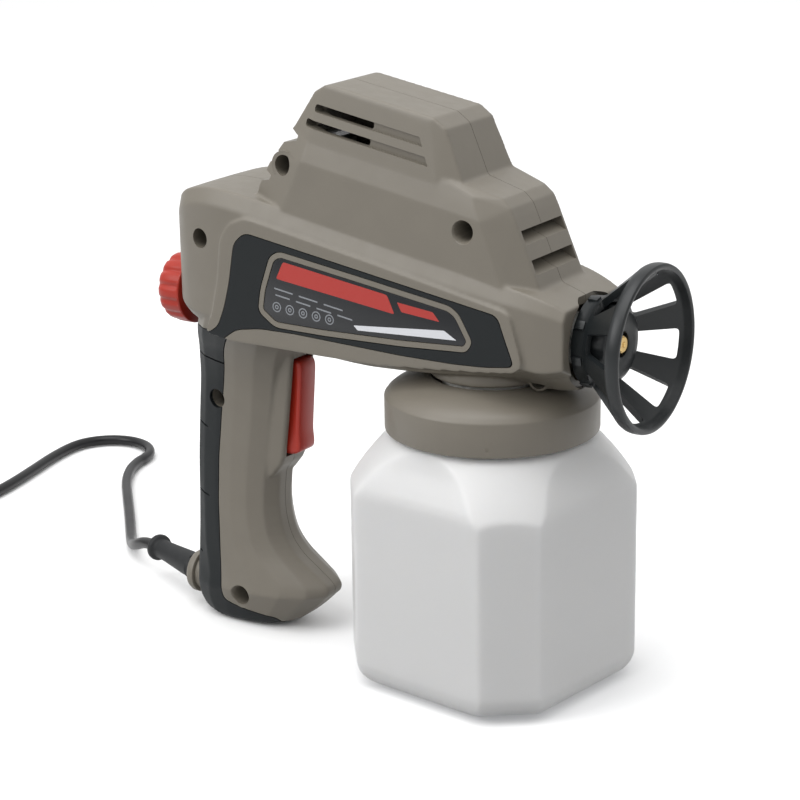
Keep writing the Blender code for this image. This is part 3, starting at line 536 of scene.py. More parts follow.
def housing_form():
    """The outside of both shells in one piece, with the skirt and the small open boss over the lid."""
    skirt = turned("skirt", [(0, 24.0), (0.5, 24.5), (8, 24.5)], (0, 0, 127.5), (0, 0, 1), 96)
    boss = turned("boss", [(0, 3.5), (0.5, 4.0), (9, 4.0)], BOSS_END, BOSS_AXIS, 32)
    others = (side_plateau(), lower_hood(), upper_hood(), handle(), trigger_rim(), skirt, boss)
    return rounded(join(lower_body(), *others))


# ---------------------------------------------------------------- outlines on the sides

GRIP_OUTLINE = [
    (-98.0, 178.3), (-103.6, 173.5), (-106.5, 157.0), (-109.5, 146.0), (-113.0, 137.6), (-118.0, 134.2),
    (-170.0, 133.4), (-170.0, -5.0), (-99.0, -5.0), (-100.5, 5.2), (-112.0, 7.0), (-121.0, 8.6),
    (-126.2, 10.4), (-127.0, 20.0), (-127.5, 55.0), (-126.4, 75.0), (-124.0, 94.0), (-121.2, 110.0),
    (-117.6, 124.0), (-112.6, 131.2), (-104.0, 137.4), (-92.0, 139.4), (-75.0, 139.6), (-57.0, 139.0),
    (-24.0, 137.9), (0.0, 137.9), (14.0, 138.6), (27.0, 140.4), (22.4, 152.0), (19.7, 159.4), (-40.0, 169.0),
]
GRIP_CORNER_R = 3.2
LABEL_OUTLINE = [
    (-80.8, 170.4), (-40.0, 164.4), (-2.2, 158.6), (1.0, 156.6), (6.2, 147.6), (4.8, 145.4), (-24.0, 143.8),
    (-60.0, 143.0), (-83.5, 143.2), (-90.0, 147.8), (-88.6, 156.0), (-84.0, 168.6),
]


def offset_outline(outline, amount):
    """The outline moved outwards by amount, or inwards if it is negative."""
    area = sum(a[0] * b[1] - b[0] * a[1] for a, b in zip(outline, outline[1:] + outline[:1]))
    turn = 1 if area > 0 else -1
    moved = []
    for i, point in enumerate(outline):
        here, before, after = Vector(point), Vector(outline[i - 1]), Vector(outline[(i + 1) % len(outline)])
        first, second = (here - before).normalized(), (after - here).normalized()
        normal = Vector(((first + second).y, -(first + second).x)).normalized() * turn
        stretch = 1.0 / max(0.45, normal.dot(Vector((second.y, -second.x)) * turn))
        moved.append(tuple(here + normal * amount * stretch))
    return moved


# ---------------------------------------------------------------- shells

SCREW_SEAT_Y = 5.5                # depth of the shoulder under each screw's head, from the parting plane
CASE_SCREWS = {
    "rear": (-122.4, 173.0, 25.0), "hood_rear": (-83.5, 206.0, 22.0), "hood_front": (1.9, 189.1, 24.5),
    "grip": (-125.9, 101.0, 13.0), "foot": (-116.5, 13.8, 16.5),
}


SLOT_HALF_HEIGHT = 1.65
SIDE_SLOTS = ((41.6, -77.5, -27.5), (35.0, -80.8, -23.2))   # height, rear end and front end in the hood frame
# The top, the lip and the inner corner of each vent's wedge, in the hood frame
FRONT_VENTS = (((18.2, 18.6), (21.4, 13.9), (11.0, 16.6)), ((23.2, 8.6), (26.8, 3.9), (16.4, 6.6)))
# The corners of the notch under each ledge, from its top to its foot
LOUVRES = (
    ((-88.0, 29.8), (-83.6, 28.4), (-83.6, 26.4), (-92.0, 23.0)),
    ((-93.2, 19.4), (-89.6, 18.2), (-89.6, 16.4), (-96.2, 13.9)),
    ((-97.4, 10.4), (-93.6, 9.2), (-93.6, 7.4), (-99.6, 5.0)),
)
BEHIND_HOOD = -112.0


def sheared_slot(name, u_low, u_high, v, y_low, y_high, slant=0.0, radius=1.5):
    """A slot along the hood, whose front end may be slanted."""
    low, high = v - SLOT_HALF_HEIGHT, v + SLOT_HALF_HEIGHT
    corners = [(u_low, low), (u_high + slant, low), (u_high - slant, high), (u_low, high)]
    return prism(name, smooth_outline(hood_outline(corners), radius, 4), y_low, y_high)


def side_slot_cutters(side):
    """Two slots through each side of the hood, each carried on as a shallow blind groove."""
    cutters = []
    for number, (v, u_rear, u_front) in enumerate(SIDE_SLOTS):
        deep, shallow = span(side, 14.0, 32.0), span(side, flare(v) - 1.1, 32.0)
        cutters.append(sheared_slot(f"slot_{number}", u_rear, -50.0, v, *deep))
        cutters.append(sheared_slot(f"groove_{number}", -52.0, u_front, v, *shallow, slant=1.1, radius=0.4))
    return cutters


def front_vent_cutters(side):
    """Wedge-shaped recesses with a sloping floor, and a thin gap into the housing at their top."""
    cutters = []
    for number, (top, lip, inner) in enumerate(FRONT_VENTS):
        out_top, out_lip = (top[0] + 9, top[1] + 0.6), (lip[0] + 9, lip[1] - 0.6)
        (u, v), y_range = inner, span(side, -1.0, 15.6)
        wedge = [inner, lip, out_lip, out_top, top]
        gap = [(u - 14, v - 0.6), (u + 1, v - 0.3), top, (u - 14, v + 1.6)]
        for kind, corners in (("wedge", wedge), ("gap", gap)):
            cutters.append(prism(f"vent_{kind}_{number}", hood_outline(corners), *y_range))
    return cutters


def louvre_cutters():
    """Notches that leave overlapping ledges on the hood's rear, each with a thin gap into the housing."""
    cutters = []
    for number, (top, high, low, foot) in enumerate(LOUVRES):
        ledge = [top, high, low, foot, (BEHIND_HOOD, foot[1]), (BEHIND_HOOD, top[1])]
        (u, v), depth, height = high, 16, 1.3
        gap = [high, (u + depth, v), (u + depth, v - height), (u - 0.5, v - height)]
        for kind, corners, reach in (("ledge", ledge, 20.6), ("gap", gap, 13.0)):
            cutters.append(prism(f"louvre_{kind}_{number}", hood_outline(corners), -reach, reach))
    return cutters


def opening_cutters():
    """Openings for the trigger, the control spindle, the nozzle, the neck, the boss and the gland."""
    return [
        box("trigger_cut", (-112, -6.9, 77.2), (-70, 6.9, 121.0)),
        turned("spindle_cut", [(0, 6.2), (12.0, 6.2), (12.1, 9.4), (30, 9.4)], (-150, 0, KNOB_Z),
               (1, 0, 0), 32),
        turned("nozzle_cut", [(0, 11.6), (30, 11.6)], (36, 0, NOZZLE_Z), (1, 0, 0), 48),
        turned("nose_recess", [(0, 18.6), (2.4, 19.6), (16, 20.4)], (41.6, 0, NOZZLE_Z), (1, 0, 0), 64),
        turned("neck_cut", [(0, 20.4), (20, 20.4)], (0, 0, 120), (0, 0, 1), 48),
        turned("boss_hole", [(0, 2.8), (7, 2.8)], BOSS_END - BOSS_AXIS, BOSS_AXIS, 32),
        turned("gland_cut", [(0, 8.3), (22, 8.3)], (-156, 0, GLAND_Z), (1, 0, 0), 32),
    ]


def screw_well_cutters(side):
    """Deep round wells over the case screws on the right, and blind pilot holes inside the left shell."""
    cutters = []
    for name, (x, z, y) in CASE_SCREWS.items():
        if side < 0:
            seat = y + 12 - SCREW_SEAT_Y
            profile = [(0, 4.15), (seat, 4.15), (seat + 0.1, 1.85), (y + 14, 1.85)]
            cutters.append(turned(f"well_{name}", profile, (x, -y - 12, z), (0, 1, 0), 40))
            rim = [(0, 9.0), (11.1, 5.15), (12.6, 4.0)]
            if name in ("hood_front", "foot"):
                cutters.append(turned(f"rim_{name}", rim, (x, -y - 12, z), (0, 1, 0), 40))
        else:
            cutters.append(turned(f"well_{name}", [(0, 1.85), (10.5, 1.85)], (x, -1, z), (0, 1, 0), 16))
    return cutters


def cavity_cutters():
    """The hollow inside the shells, kept simple because it is only seen through the slots."""
    cutters = []
    for make_form, factors, centre in (
        (upper_hood, (0.84, 0.87, 0.92), (-32, 0, 196)), (lower_hood, (0.8, 0.87, 0.9), (-20, 0, 182)),
        (lower_body, (0.965, 0.9, 0.86), (-50, 0, 150)), (handle, (0.8, 0.8, 0.97), (-122, 0, 80)),
    ):
        cutter = make_form()
        move = Matrix.Translation(Vector(centre) * MM)
        cutter.data.transform(move @ Matrix.Diagonal((*factors, 1.0)) @ move.inverted())
        cutters.append(cutter)
    return cutters


def screw_posts(side):
    """The posts between the two shells that the case screws go through."""
    return [turned(f"post_{name}", [(0, 5.8), (y - 0.8, 5.8)], (x, side * PARTING, z), (0, side, 0), 24)
            for name, (x, z, y) in CASE_SCREWS.items()]


def grip_recess(name, form_core, widen):
    """The space of the soft grip between the surface and the core, minus the label's plateau."""
    outline = smooth_outline(offset_outline(GRIP_OUTLINE, widen), GRIP_CORNER_R)
    window = smooth_outline(offset_outline(LABEL_OUTLINE, 2.4 - widen), 3.0)
    return cut(prism(name, outline, -45, 45), form_core, prism(name + "_window", window, -50, 50))


def shrunk_form(form, name, inset):
    """The outer form moved inwards along its normals."""
    core = copy_of(form, name)

    def shrink(bm):
        bm.normal_update()
        for vert in bm.verts:
            vert.co -= vert.normal * inset * MM

    return edit(core, shrink)


def far_side(side):
    return box("far", (-200, -side * 60, -10), (90, side * PARTING, 260))


def build_housing(form):
    """Both shells, each with its slots, vents, wells, openings and the recess of its soft grip."""
    hollow = copy_of(form, "hollow_form")
    cut(hollow, *cavity_cutters())
    for side, hand in HANDS:
        shell = copy_of(hollow, f"housing_shell_{hand}")
        cut(shell, far_side(side), *louvre_cutters())
        join(shell, *screw_posts(side))
        cut(shell, grip_recess("recess", shrunk_form(form, "core", 2.0), 0.22))
        label_y = span(side, SIDE_Y - 1.0, SIDE_Y + 5)
        cut(shell, prism("label_recess", smooth_outline(LABEL_OUTLINE, 1.6), *label_y))
        cut(shell, *side_slot_cutters(side), *front_vent_cutters(side))
        cut(shell, *opening_cutters(), *screw_well_cutters(side))
        finish_piece(shell, "housing", "gun_body", "housing_plastic", f"housing_{hand}", angle=40)
    bpy.data.objects.remove(hollow, do_unlink=True)


GROOVE_WIDTH = 0.7
# Height, the handle's back there and the radius that is left inside the groove
GRIP_GROOVES = ((118.0, -139.4, 17.6), (86.0, -142.2, 15.8), (55.0, -143.4, 15.8), (27.0, -145.9, 16.6))


def grip_grooves():
    """Thin grooves around the handle's back, which run out before its flanks."""
    grooves = []
    for number, (z, back, inner) in enumerate(GRIP_GROOVES):
        profile = [(0, inner), (0, 32), (GROOVE_WIDTH, 32), (GROOVE_WIDTH, inner), (0, inner)]
        grooves.append(turned(f"groove_{number}", profile, (back + inner + 0.7, 0, z), (0.16, 0, 1), 64))
    return grooves


def build_grips(form):
    """The charcoal layer over the handle's back, its heel and the panel around the label."""
    skin = shrunk_form(form, "skin", -0.12)
    for side, hand in HANDS:
        grip = copy_of(skin, f"soft_grip_{hand}")
        keep_inside(grip, grip_recess("space", shrunk_form(form, "core", 1.7), -0.12))
        gland_gap = turned("gland_gap", [(0, 11.0), (30, 11.0)], (-170, 0, GLAND_Z), (1, 0, 0), 48)
        cut(grip, far_side(side), gland_gap, *grip_grooves())
        if side < 0:
            x, z, y = CASE_SCREWS["grip"]
            cut(grip, turned("well", [(0, 4.15), (30, 4.15)], (x, -y - 20, z), (0, 1, 0), 40))
        finish_piece(grip, "grip", "gun_body", "soft_grip", f"grip_{hand}", angle=40)
    bpy.data.objects.remove(skin, do_unlink=True)


# ---------------------------------------------------------------- labels

LABEL_TOP = SIDE_Y - 0.15
PRINT_BOTTOM, PRINT_TOP = LABEL_TOP - 0.2, LABEL_TOP + 0.03
# Name, finish, corner radius, and each corner as x and its height against the label's upper edge
BANDS = (
    ("red", "print_red", 1.0, [(-79.4, -1.6), (-30.0, -1.4), (-26.6, -8.2), (-83.0, -9.4)]),
    ("accent", "print_red", 0.5, [(-25.4, -3.0), (-9.0, -2.4), (-6.0, -5.4), (-23.4, -6.4)]),
)
WEDGE = [(-46.0, 147.0), (-4.0, 150.6), (1.6, 147.4), (-44.0, 145.2)]
DASH_ROWS, DASH_SLOPE, DASH_HEIGHT, DASH_START = ((157.6, 9.0, 3), (155.0, 7.0, 4)), 0.15, 0.6, -84.0


def printed_area(name, side, corners, radius, finish):
    """A printed area on the label: a thin film with rounded corners."""
    film = prism(name, smooth_outline(corners, radius, 3), *span(side, PRINT_BOTTOM, PRINT_TOP))
    finish_piece(film, finish, "gun_body", "label_film")


def label_edge_z(x):
    """Height of the label's upper edge at x."""
    return 170.4 + (x + 80.8) * (158.6 - 170.4) / (80.8 - 2.2)


def ring_icon(name, x, z, radius, side):
    """A plain ring printed on the label."""
    inner = radius - 0.45
    profile = [(0, inner), (0, radius), (0.2, radius), (0.2, inner), (0, inner)]
    return turned(name, profile, (x, side * (LABEL_TOP - 0.14), z), (0, side, 0), 32)


def label_marks(side):
    """Rows of grey dashes and rings, with nothing to read."""
    marks = []
    for row, (z, length, count) in enumerate(DASH_ROWS):
        for number in range(count):
            x = DASH_START + number * (length + 3.0) + row * 0.5
            high = z - (x - DASH_START) * DASH_SLOPE
            end, low = x + length, high - length * DASH_SLOPE
            corners = [(x, high), (end, low), (end, low - DASH_HEIGHT), (x, high - DASH_HEIGHT)]
            marks.append(prism("dash", corners, *span(side, PRINT_BOTTOM, PRINT_TOP)))
    for number in range(5):
        x, z = -83.0 + number * 6.4, 149.6 - number * 0.45
        marks += [ring_icon("icon", x, z, 2.1, side), ring_icon("icon_dot", x, z, 0.9, side)]
    return marks


def label_prints(side, hand):
    """A red band in two parts, a white wedge and the grey marks."""
    for name, finish, radius, corners in BANDS:
        placed = [(x, label_edge_z(x) + drop) for x, drop in corners]
        printed_area(f"label_print_{name}_{hand}", side, placed, radius, finish)
    printed_area(f"label_print_wedge_{hand}", side, WEDGE, 0.4, "print_white")
    first, *others = label_marks(side)
    join_meshes(first, others)
    first.name = f"label_print_marks_{hand}"
    finish_piece(first, "print_grey", "gun_body", "label_film")


def join_meshes(obj, others):
    """Puts separate solids into one object without uniting them."""
    def add(bm):
        for other in others:
            bm.from_mesh(other.data)

    edit(obj, add)
    for other in others:
        bpy.data.objects.remove(other, do_unlink=True)


def build_labels():
    for side, hand in HANDS:
        outline = smooth_outline(offset_outline(LABEL_OUTLINE, -0.28), 1.4)
        film = prism(f"label_film_{hand}", outline, *span(side, LABEL_TOP - 0.6, LABEL_TOP))
        finish_piece(bevelled(film, 0.12), "label", "gun_body", "label_film", f"label_{hand}")
        label_prints(side, hand)


# ---------------------------------------------------------------- trigger, knob and screws


def trigger_section(z, front, back, half, flank):
    """A level of the trigger: a flat-fronted bar whose flanks are hollowed by the fingers."""
    side = [
        (back, half), (back + 2.0, half), (front - 6.5, half), (front - 4.2, half - 0.8 * flank),
        (front - 2.2, half - 0.4 * flank), (front - 1.0, half - 0.3), (front - 0.3, half - 0.65),
        (front, half - 1.3),
    ]
    return [(x, y, z) for x, y in side] + [(x, -y, z) for x, y in reversed(side)]


def build_trigger():
    sections = [
        (78.2, -95.0, -103.0, 4.6, 0.2), (78.7, -93.2, -104.5, 5.5, 0.3), (80.2, -91.1, -105.8, 6.0, 0.4),
        (83.0, -90.6, -107.0, 6.0, 0.8), (88.0, -90.9, -107.0, 5.9, 1.0), (95.0, -90.5, -107.0, 5.9, 1.1),
        (104.0, -89.8, -107.0, 5.9, 1.1), (112.0, -89.2, -107.0, 5.9, 0.9), (116.5, -89.0, -107.0, 5.8, 0.5),
        (118.9, -89.6, -105.6, 5.5, 0.3), (119.7, -90.8, -104.2, 4.8, 0.1),
    ]
    lever = smooth_loft("trigger_lever", [trigger_section(*section) for section in sections], 4)
    finish_piece(lever, "red", "trigger_and_plunger", "red_plastic", "trigger", angle=50)


def build_knob():
    def flute(angle, distance):
        depth = 0.06 if 1.0 < distance < 12.9 else 0.0
        return 1.0 - depth * (0.5 - 0.5 * math.cos(14 * angle)) ** 3

    profile = [
        (0, 10.2), (0.3, 10.8), (1.6, 13.0), (2.4, 13.9), (4.0, 14.7), (6.0, 15.1), (9.0, 15.2),
        (12.0, 15.2), (12.8, 15.2), (13.0, 15.2), (13.6, 15.0), (13.8, 14.6), (13.8, 3.4), (7.0, 3.3),
        (6.9, 2.4), (6.3, 2.3), (1.4, 2.3), (1.2, 8.8), (0.4, 9.2), (0, 9.8), (0, 10.2),
    ]
    knob = turned("stroke_knob_cap", profile, (-158.5, 0, KNOB_Z), (1, 0, 0), 196, flute)
    finish_piece(knob, "red", "stroke_knob", "red_plastic", "control_knob", angle=45)


def build_screws():
    """Pan head screws with a cross recess, at the bottom of the right shell's wells."""
    profile = [
        (0, 0.4), (0.05, 1.6), (0.35, 2.5), (0.8, 3.1), (1.3, 3.38), (2.0, 3.4), (2.4, 3.3), (2.45, 1.6),
        (3.0, 1.5), (13.2, 1.45), (15.3, 0.3),
    ]
    for name, (x, z, _) in CASE_SCREWS.items():
        head = -SCREW_SEAT_Y - 2.9
        screw = turned(f"screw_{name}", profile, (x, head, z), (0, 1, 0), 40)
        for wide, tall in ((3.6, 0.62), (0.62, 3.6)):
            low, high = (x - wide / 2, head - 1, z - tall / 2), (x + wide / 2, head + 1.5, z + tall / 2)
            cut(screw, box("cross", low, high))
        finish_piece(screw, "steel", "gun_body", "steel", f"case_screw_{name}", angle=40)


# ---------------------------------------------------------------- container, lid and suction

DOME = [
    (76.0, 62.0), (79.0, 60.0), (82.0, 58.0), (85.0, 56.2), (88.0, 54.2), (91.0, 52.0), (94.0, 49.6),
    (97.0, 47.0), (100.0, 44.3), (102.5, 42.0), (104.6, 39.5),
]
# Height, how far the faces stand in from the full width, and whether the cut corners move in with them
BOTTLE_LEVELS = (
    (0.0, 9.0, True), (1.0, 6.0, True), (3.0, 3.0, True), (6.0, 1.0, True), (10.0, 0.0, True),
    (83.0, 0.0, True), (86.0, 0.7, False), (90.0, 2.4, False), (96.0, 5.3, False), (105.0, 8.5, False),
)


UP = (0, 0, 1)
STRAINER_SLOTS = 10


def octagon(width, chamfer):
    """A square with cut corners, turned to the container's own heading."""
    half, corner = width / 2, width / 2 - chamfer
    outline = [(half, -corner), (half, corner), (corner, half), (-corner, half), (-half, corner),
               (-half, -corner), (-corner, -half), (corner, -half)]
    c, s = math.cos(BOTTLE_YAW), math.sin(BOTTLE_YAW)
    return [(x * c - y * s, x * s + y * c) for x, y in outline]


def build_container():
    rings = []
    for z, inset, corners_too in BOTTLE_LEVELS:
        width = BOTTLE_WIDTH - 2 * inset
        chamfer = BOTTLE_CHAMFER if corners_too else BOTTLE_CHAMFER - 2 * inset
        rings.append([(x, y, z) for x, y in octagon(width, chamfer)])
    body = loft("bottle", rings)
    dome = turned("dome", [(-1.0, 62.0)] + DOME, (0, 0, 0), UP, 128)
    rounded(keep_inside(body, dome), 1.0, 8, 0.35)
    inner = shrunk_form(body, "bottle_inside", 1.8)
    neck = [(0, 37.0), (1, 38.5), (15.4, 38.5), (15.9, 38.1)]
    join(body, turned("neck", neck, (0, 0, 102.5), UP, 128))
    join(inner, turned("mouth", [(0, 36.7), (25, 36.7)], (0, 0, 98.0), UP, 128))
    thread = [(0, 38.0), (0.5, 38.95), (1.1, 38.95), (1.6, 38.0), (0, 38.0)]
    join(body, *[turned("thread", thread, (0, 0, z), UP, 128) for z in (107.5, 111.2, 114.9)])
    cut(body, inner)
    body.name = "milky_container"
    finish_piece(body, "bottle", "container", "milky_plastic", "paint_container", angle=35)


def build_lid():
    profile = [
        (0.3, 39.3), (0.0, 39.7), (0.0, 42.3), (0.25, 42.8), (0.8, 43.0), (13.3, 43.0), (13.8, 42.9),
        (14.2, 42.5), (15.3, 41.8), (16.8, 40.0), (18.2, 37.2), (19.4, 34.0), (20.5, 30.6), (21.4, 27.4),
        (21.9, 24.8), (21.8, 24.2), (14.9, 20.6), (14.9, 20.3), (14.5, 20.3), (14.5, 39.2), (0.3, 39.3),
    ]
    lid = turned("lid", profile, (0, 0, 105.1), UP, 160)
    angle = math.radians(-62)
    direction = (math.cos(angle), math.sin(angle), 0)
    start = tuple(42.75 * c for c in direction[:2]) + (108.6,)
    cut(lid, turned("gate_mark", [(0, 0.7), (2, 0.9)], start, direction, 20))
    lid.name = "container_lid_cap"
    finish_piece(lid, "housing", "gun_body", "housing_plastic", "container_lid", angle=40)


def build_suction():
    pipe = [(0, 2.4), (0, 3.4), (0.2, 3.6), (111.8, 3.6), (112.0, 3.4), (112.0, 2.4), (0, 2.4)]
    tube = turned("suction_pipe", pipe, (0, 0, 11.0), UP, 48)
    finish_piece(tube, "nylon", "gun_body", "white_nylon", "suction_tube")
    cup = [
        (0, 5.2), (0, 7.6), (0.4, 8.0), (8.6, 8.0), (9.0, 7.6), (9.0, 3.95), (3.2, 3.95), (3.2, 5.2),
        (0, 5.2),
    ]
    strainer = turned("suction_strainer", cup, (0, 0, 7.6), UP, 48)
    for number in range(STRAINER_SLOTS):
        angle = 2 * math.pi * number / STRAINER_SLOTS
        slot = box("slot", (6.6, -0.9, 9.0), (10, 0.9, 14.6))
        slot.data.transform(Matrix.Rotation(angle, 4, "Z"))
        cut(strainer, slot)
    finish_piece(strainer, "nylon", "gun_body", "white_nylon", "suction_filter", angle=40)


# ---------------------------------------------------------------- nozzle and guard

GUARD_X = 44.6
GUARD_PROFILE = [
    (0.3, 15.1), (0.0, 15.4), (0.0, 17.0), (0.3, 17.4), (3.0, 17.6), (5.4, 17.9), (6.4, 18.4),
    (22.0, 31.7), (22.6, 32.3), (23.4, 32.7), (24.4, 32.9), (26.6, 32.9), (27.5, 32.6), (27.9, 31.9),
    (27.9, 31.0), (27.5, 30.4), (26.6, 30.2), (24.6, 30.1), (23.4, 29.7), (8.6, 16.5), (7.4, 15.6),
    (6.4, 15.2), (0.3, 15.1),
]
SPOKES = 8


def guard_window(angle, half, x_low, x_high):
    """A cutter through the guard's cone: a rounded rectangle in distance and angle."""
    corners = [(x_low, -half * 20), (x_high, -half * 26), (x_high, half * 26), (x_low, half * 20)]
    outline = smooth_outline(corners, 1.5, 4)
    rings = []
    for radius in (13.0, 40.0):
        ring = []
        for x, arc in outline:
            a = angle + arc / (20 + 6 * (x - x_low) / (x_high - x_low))
            ring.append((x, radius * math.cos(a), NOZZLE_Z + radius * math.sin(a)))
        rings.append(ring)
    return loft("guard_window", rings)


def build_guard():
    guard = turned("guard_cone", GUARD_PROFILE, (GUARD_X, 0, NOZZLE_Z), (1, 0, 0), 160)
    for number in range(SPOKES):
        angle = 2 * math.pi * number / SPOKES + HOOD_TILT
        cut(guard, guard_window(angle, math.radians(12.2), 52.4, 67.2))
    for number in range(SPOKES):
        angle = 2 * math.pi * (number + 0.5) / SPOKES + HOOD_TILT
        tab = box("tab", (45.4, 17.0, -1.7), (49.6, 18.5, 1.7))
        tab.data.transform(Matrix.Translation((0, 0, NOZZLE_Z * MM)) @ Matrix.Rotation(angle, 4, "X"))
        join(guard, bevelled(tab, 0.25))
    guard.name = "spray_guard_cone"
    finish_piece(guard, "black", "nut_and_guard", "black_plastic", "spray_guard", angle=38)


def build_nozzle():
    nut = [
        (0, 10.0), (0, 14.3), (0.4, 14.6), (10.3, 14.6), (11.0, 14.0), (11.8, 12.8), (12.0, 12.2),
        (12.0, 5.4), (11.7, 5.0), (9.4, 5.0), (9.3, 10.0), (0, 10.0),
    ]

    def grip_ribs(angle, distance):
        return 1.0 - 0.03 * (0.5 + 0.5 * math.cos(18 * angle)) if 0.4 < distance < 10.4 else 1.0

    ring = turned("nozzle_nut_ring", nut, (46.0, 0, NOZZLE_Z), (1, 0, 0), 144, grip_ribs)
    finish_piece(ring, "black", "nut_and_guard", "black_plastic", "nozzle_nut", angle=40)
    insert = [
        (0, 0.5), (0, 8.3), (0.3, 8.6), (1.7, 8.6), (2.0, 8.3), (2.1, 4.4), (2.5, 4.0), (4.9, 3.5),
        (5.5, 2.9), (5.5, 1.2), (4.6, 0.5), (0, 0.5),
    ]
    tip = turned("nozzle_insert", insert, (52.8, 0, NOZZLE_Z), (1, 0, 0), 64)
    finish_piece(tip, "brass", "nozzle", "brass", "nozzle_tip", angle=40)


# ---------------------------------------------------------------- mains lead

CORD_D = 5.2
RELIEF_START = Vector((-155.2, 1.9, GLAND_Z))
RELIEF_DIRECTION = Vector((-0.94, 0.342, 0.0)).normalized()
RELIEF_LENGTH = 32.6
COIL_X, COIL_Y = -358.0, 4.0
# The route from the strain relief to the coil, as in the CAD model
CORD_ROUTE = [
    (-186.5, 13.3, 13.6), (-195.8, 16.7, 12.2), (-205.0, 21.5, 8.2), (-214.0, 29.2, 4.4),
    (-225.0, 41.5, 2.8), (-243.0, 62.5, 2.7), (-261.0, 83.0, 2.7), (-275.5, 100.0, 2.7),
    (-285.6, 115.0, 2.7), (-290.6, 127.0, 2.7), (-292.0, 134.6, 2.7), (-295.2, 143.1, 2.7),
    (-303.1, 150.7, 2.7), (-314.5, 153.8, 2.7), (-325.9, 150.7, 2.7), (-334.2, 142.4, 2.7),
    (-337.3, 131.0, 2.7), (-335.0, 112.0, 2.7), (-330.0, 91.0, 2.7), (-325.0, 69.0, 2.7),
    (-322.0, 47.5, 2.7), (-321.6, 27.0, 2.7),
]
COIL_R, COIL_Z = 36.4, 2.7        # where the first turn starts
# Each climb or sidestep of the coil: degrees turned at its start and end, then the new radius and height
COIL_STEPS = [
    (240, 360, 31.0, 2.7), (600, 720, 25.6, 2.7), (940, 1040, 25.6, 8.2), (1215, 1315, 31.0, 8.2),
    (1530, 1620, 31.0, 13.5), (1830, 1930, 36.4, 13.5), (2080, 2160, 36.4, 8.2),
]
COIL_END = 2340                   # degrees turned where the cord leaves the coil for its plug
PLUG_X, PLUG_REAR_Y, PLUG_Z = COIL_X - COIL_R, 26.6, 7.2


def coil_points():
    """The turns of the coil, two layers deep in from the outside and two more out again."""
    points = [(COIL_X + COIL_R, COIL_Y + 11.5, COIL_Z)]
    for turned_by in range(0, COIL_END + 1, 15):
        radius, height = COIL_R, COIL_Z
        for start, end, next_radius, next_height in COIL_STEPS:
            t = min(1.0, max(0.0, (turned_by - start) / (end - start)))
            ease = t * t * (3 - 2 * t)
            radius += (next_radius - radius) * ease
            height += (next_height - height) * ease
        angle = math.radians(-turned_by)
        points.append((COIL_X + radius * math.cos(angle), COIL_Y + radius * math.sin(angle), height))
    return points


def build_cord():
    """The lead: one open spline from the strain relief, through its coil, into the plug."""
    to_plug = [(PLUG_X, 12.0, 7.9), (PLUG_X, 20.0, 7.4), (PLUG_X, PLUG_REAR_Y - 0.3, PLUG_Z)]
    smooth = catmull(CORD_ROUTE + coil_points() + to_plug, 4)
    curve = bpy.data.curves.new("mains_cord", "CURVE")
    curve.dimensions = "3D"
    curve.bevel_depth, curve.bevel_resolution = CORD_D / 2 * MM, 6
    curve.use_fill_caps = True
    spline = curve.splines.new("POLY")
    spline.points.add(len(smooth) - 1)
    for slot, point in zip(spline.points, smooth):
        slot.co = (*(c * MM for c in point), 1.0)
    spline.use_smooth = True
    curve.materials.append(MATERIALS["cord"])
    cord = bpy.data.objects.new("mains_cord", curve)
    bpy.context.scene.collection.objects.link(cord)
    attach(cord, "gun_body")
    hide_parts("cord_tube", "cord_coil")
    plug, pins = build_plug()


def build_relief():
    """The tapered sleeve that the lead leaves the handle in, and the beige gland ring around it."""
    profile = [
        (0.0, 5.4), (0.2, 5.7), (6.0, 5.6), (12.0, 5.2), (20.0, 4.7), (26.0, 4.4), (28.2, 4.4), (28.8, 4.7),
        (29.2, 5.5), (29.9, 5.95), (30.8, 6.05), (31.7, 5.9), (32.3, 5.3), (RELIEF_LENGTH, 4.4),
        (RELIEF_LENGTH, 3.0), (31.0, 2.7), (0.0, 2.7), (0.0, 5.6),
    ]
    sleeve = turned("cord_sleeve", profile, RELIEF_START, RELIEF_DIRECTION, 64)
    stub = turned("stub", [(0, 5.0), (21.0, 5.0), (22.0, 4.4)], (-157.0, 0.7, GLAND_Z), (1, 0, 0), 64)
    join(sleeve, stub)
    sleeve.name = "cord_sleeve"
    finish_piece(sleeve, "rubber", "gun_body", "black_rubber", "strain_relief", angle=40)
    ring = [
        (0.3, 6.25), (0, 6.6), (0, 8.2), (0.3, 8.7), (1.3, 9.2), (2.0, 9.4), (3.7, 9.4), (4.0, 9.1),
        (4.2, 7.9), (13.7, 7.9), (14.0, 7.6), (14.0, 6.25), (0.3, 6.25),
    ]
    gland = turned("gland_ring", ring, (-152.3, 0, GLAND_Z), (1, 0, 0), 72)
    finish_piece(gland, "housing", "gun_body", "housing_plastic", "cord_gland", angle=40)


def plug_ring(y, wide, tall, corners=40):
    """A section across the plug: a rectangle with generously rounded corners."""
    ring = []
    for i in range(corners):
        angle = 2 * math.pi * (i + 0.5) / corners
        c, s = math.cos(angle), math.sin(angle)
        squareness = (abs(c) ** 4 + abs(s) ** 4) ** -0.25
        ring.append((PLUG_X + wide * c * squareness, PLUG_REAR_Y + y, PLUG_Z + tall * s * squareness))
    return ring


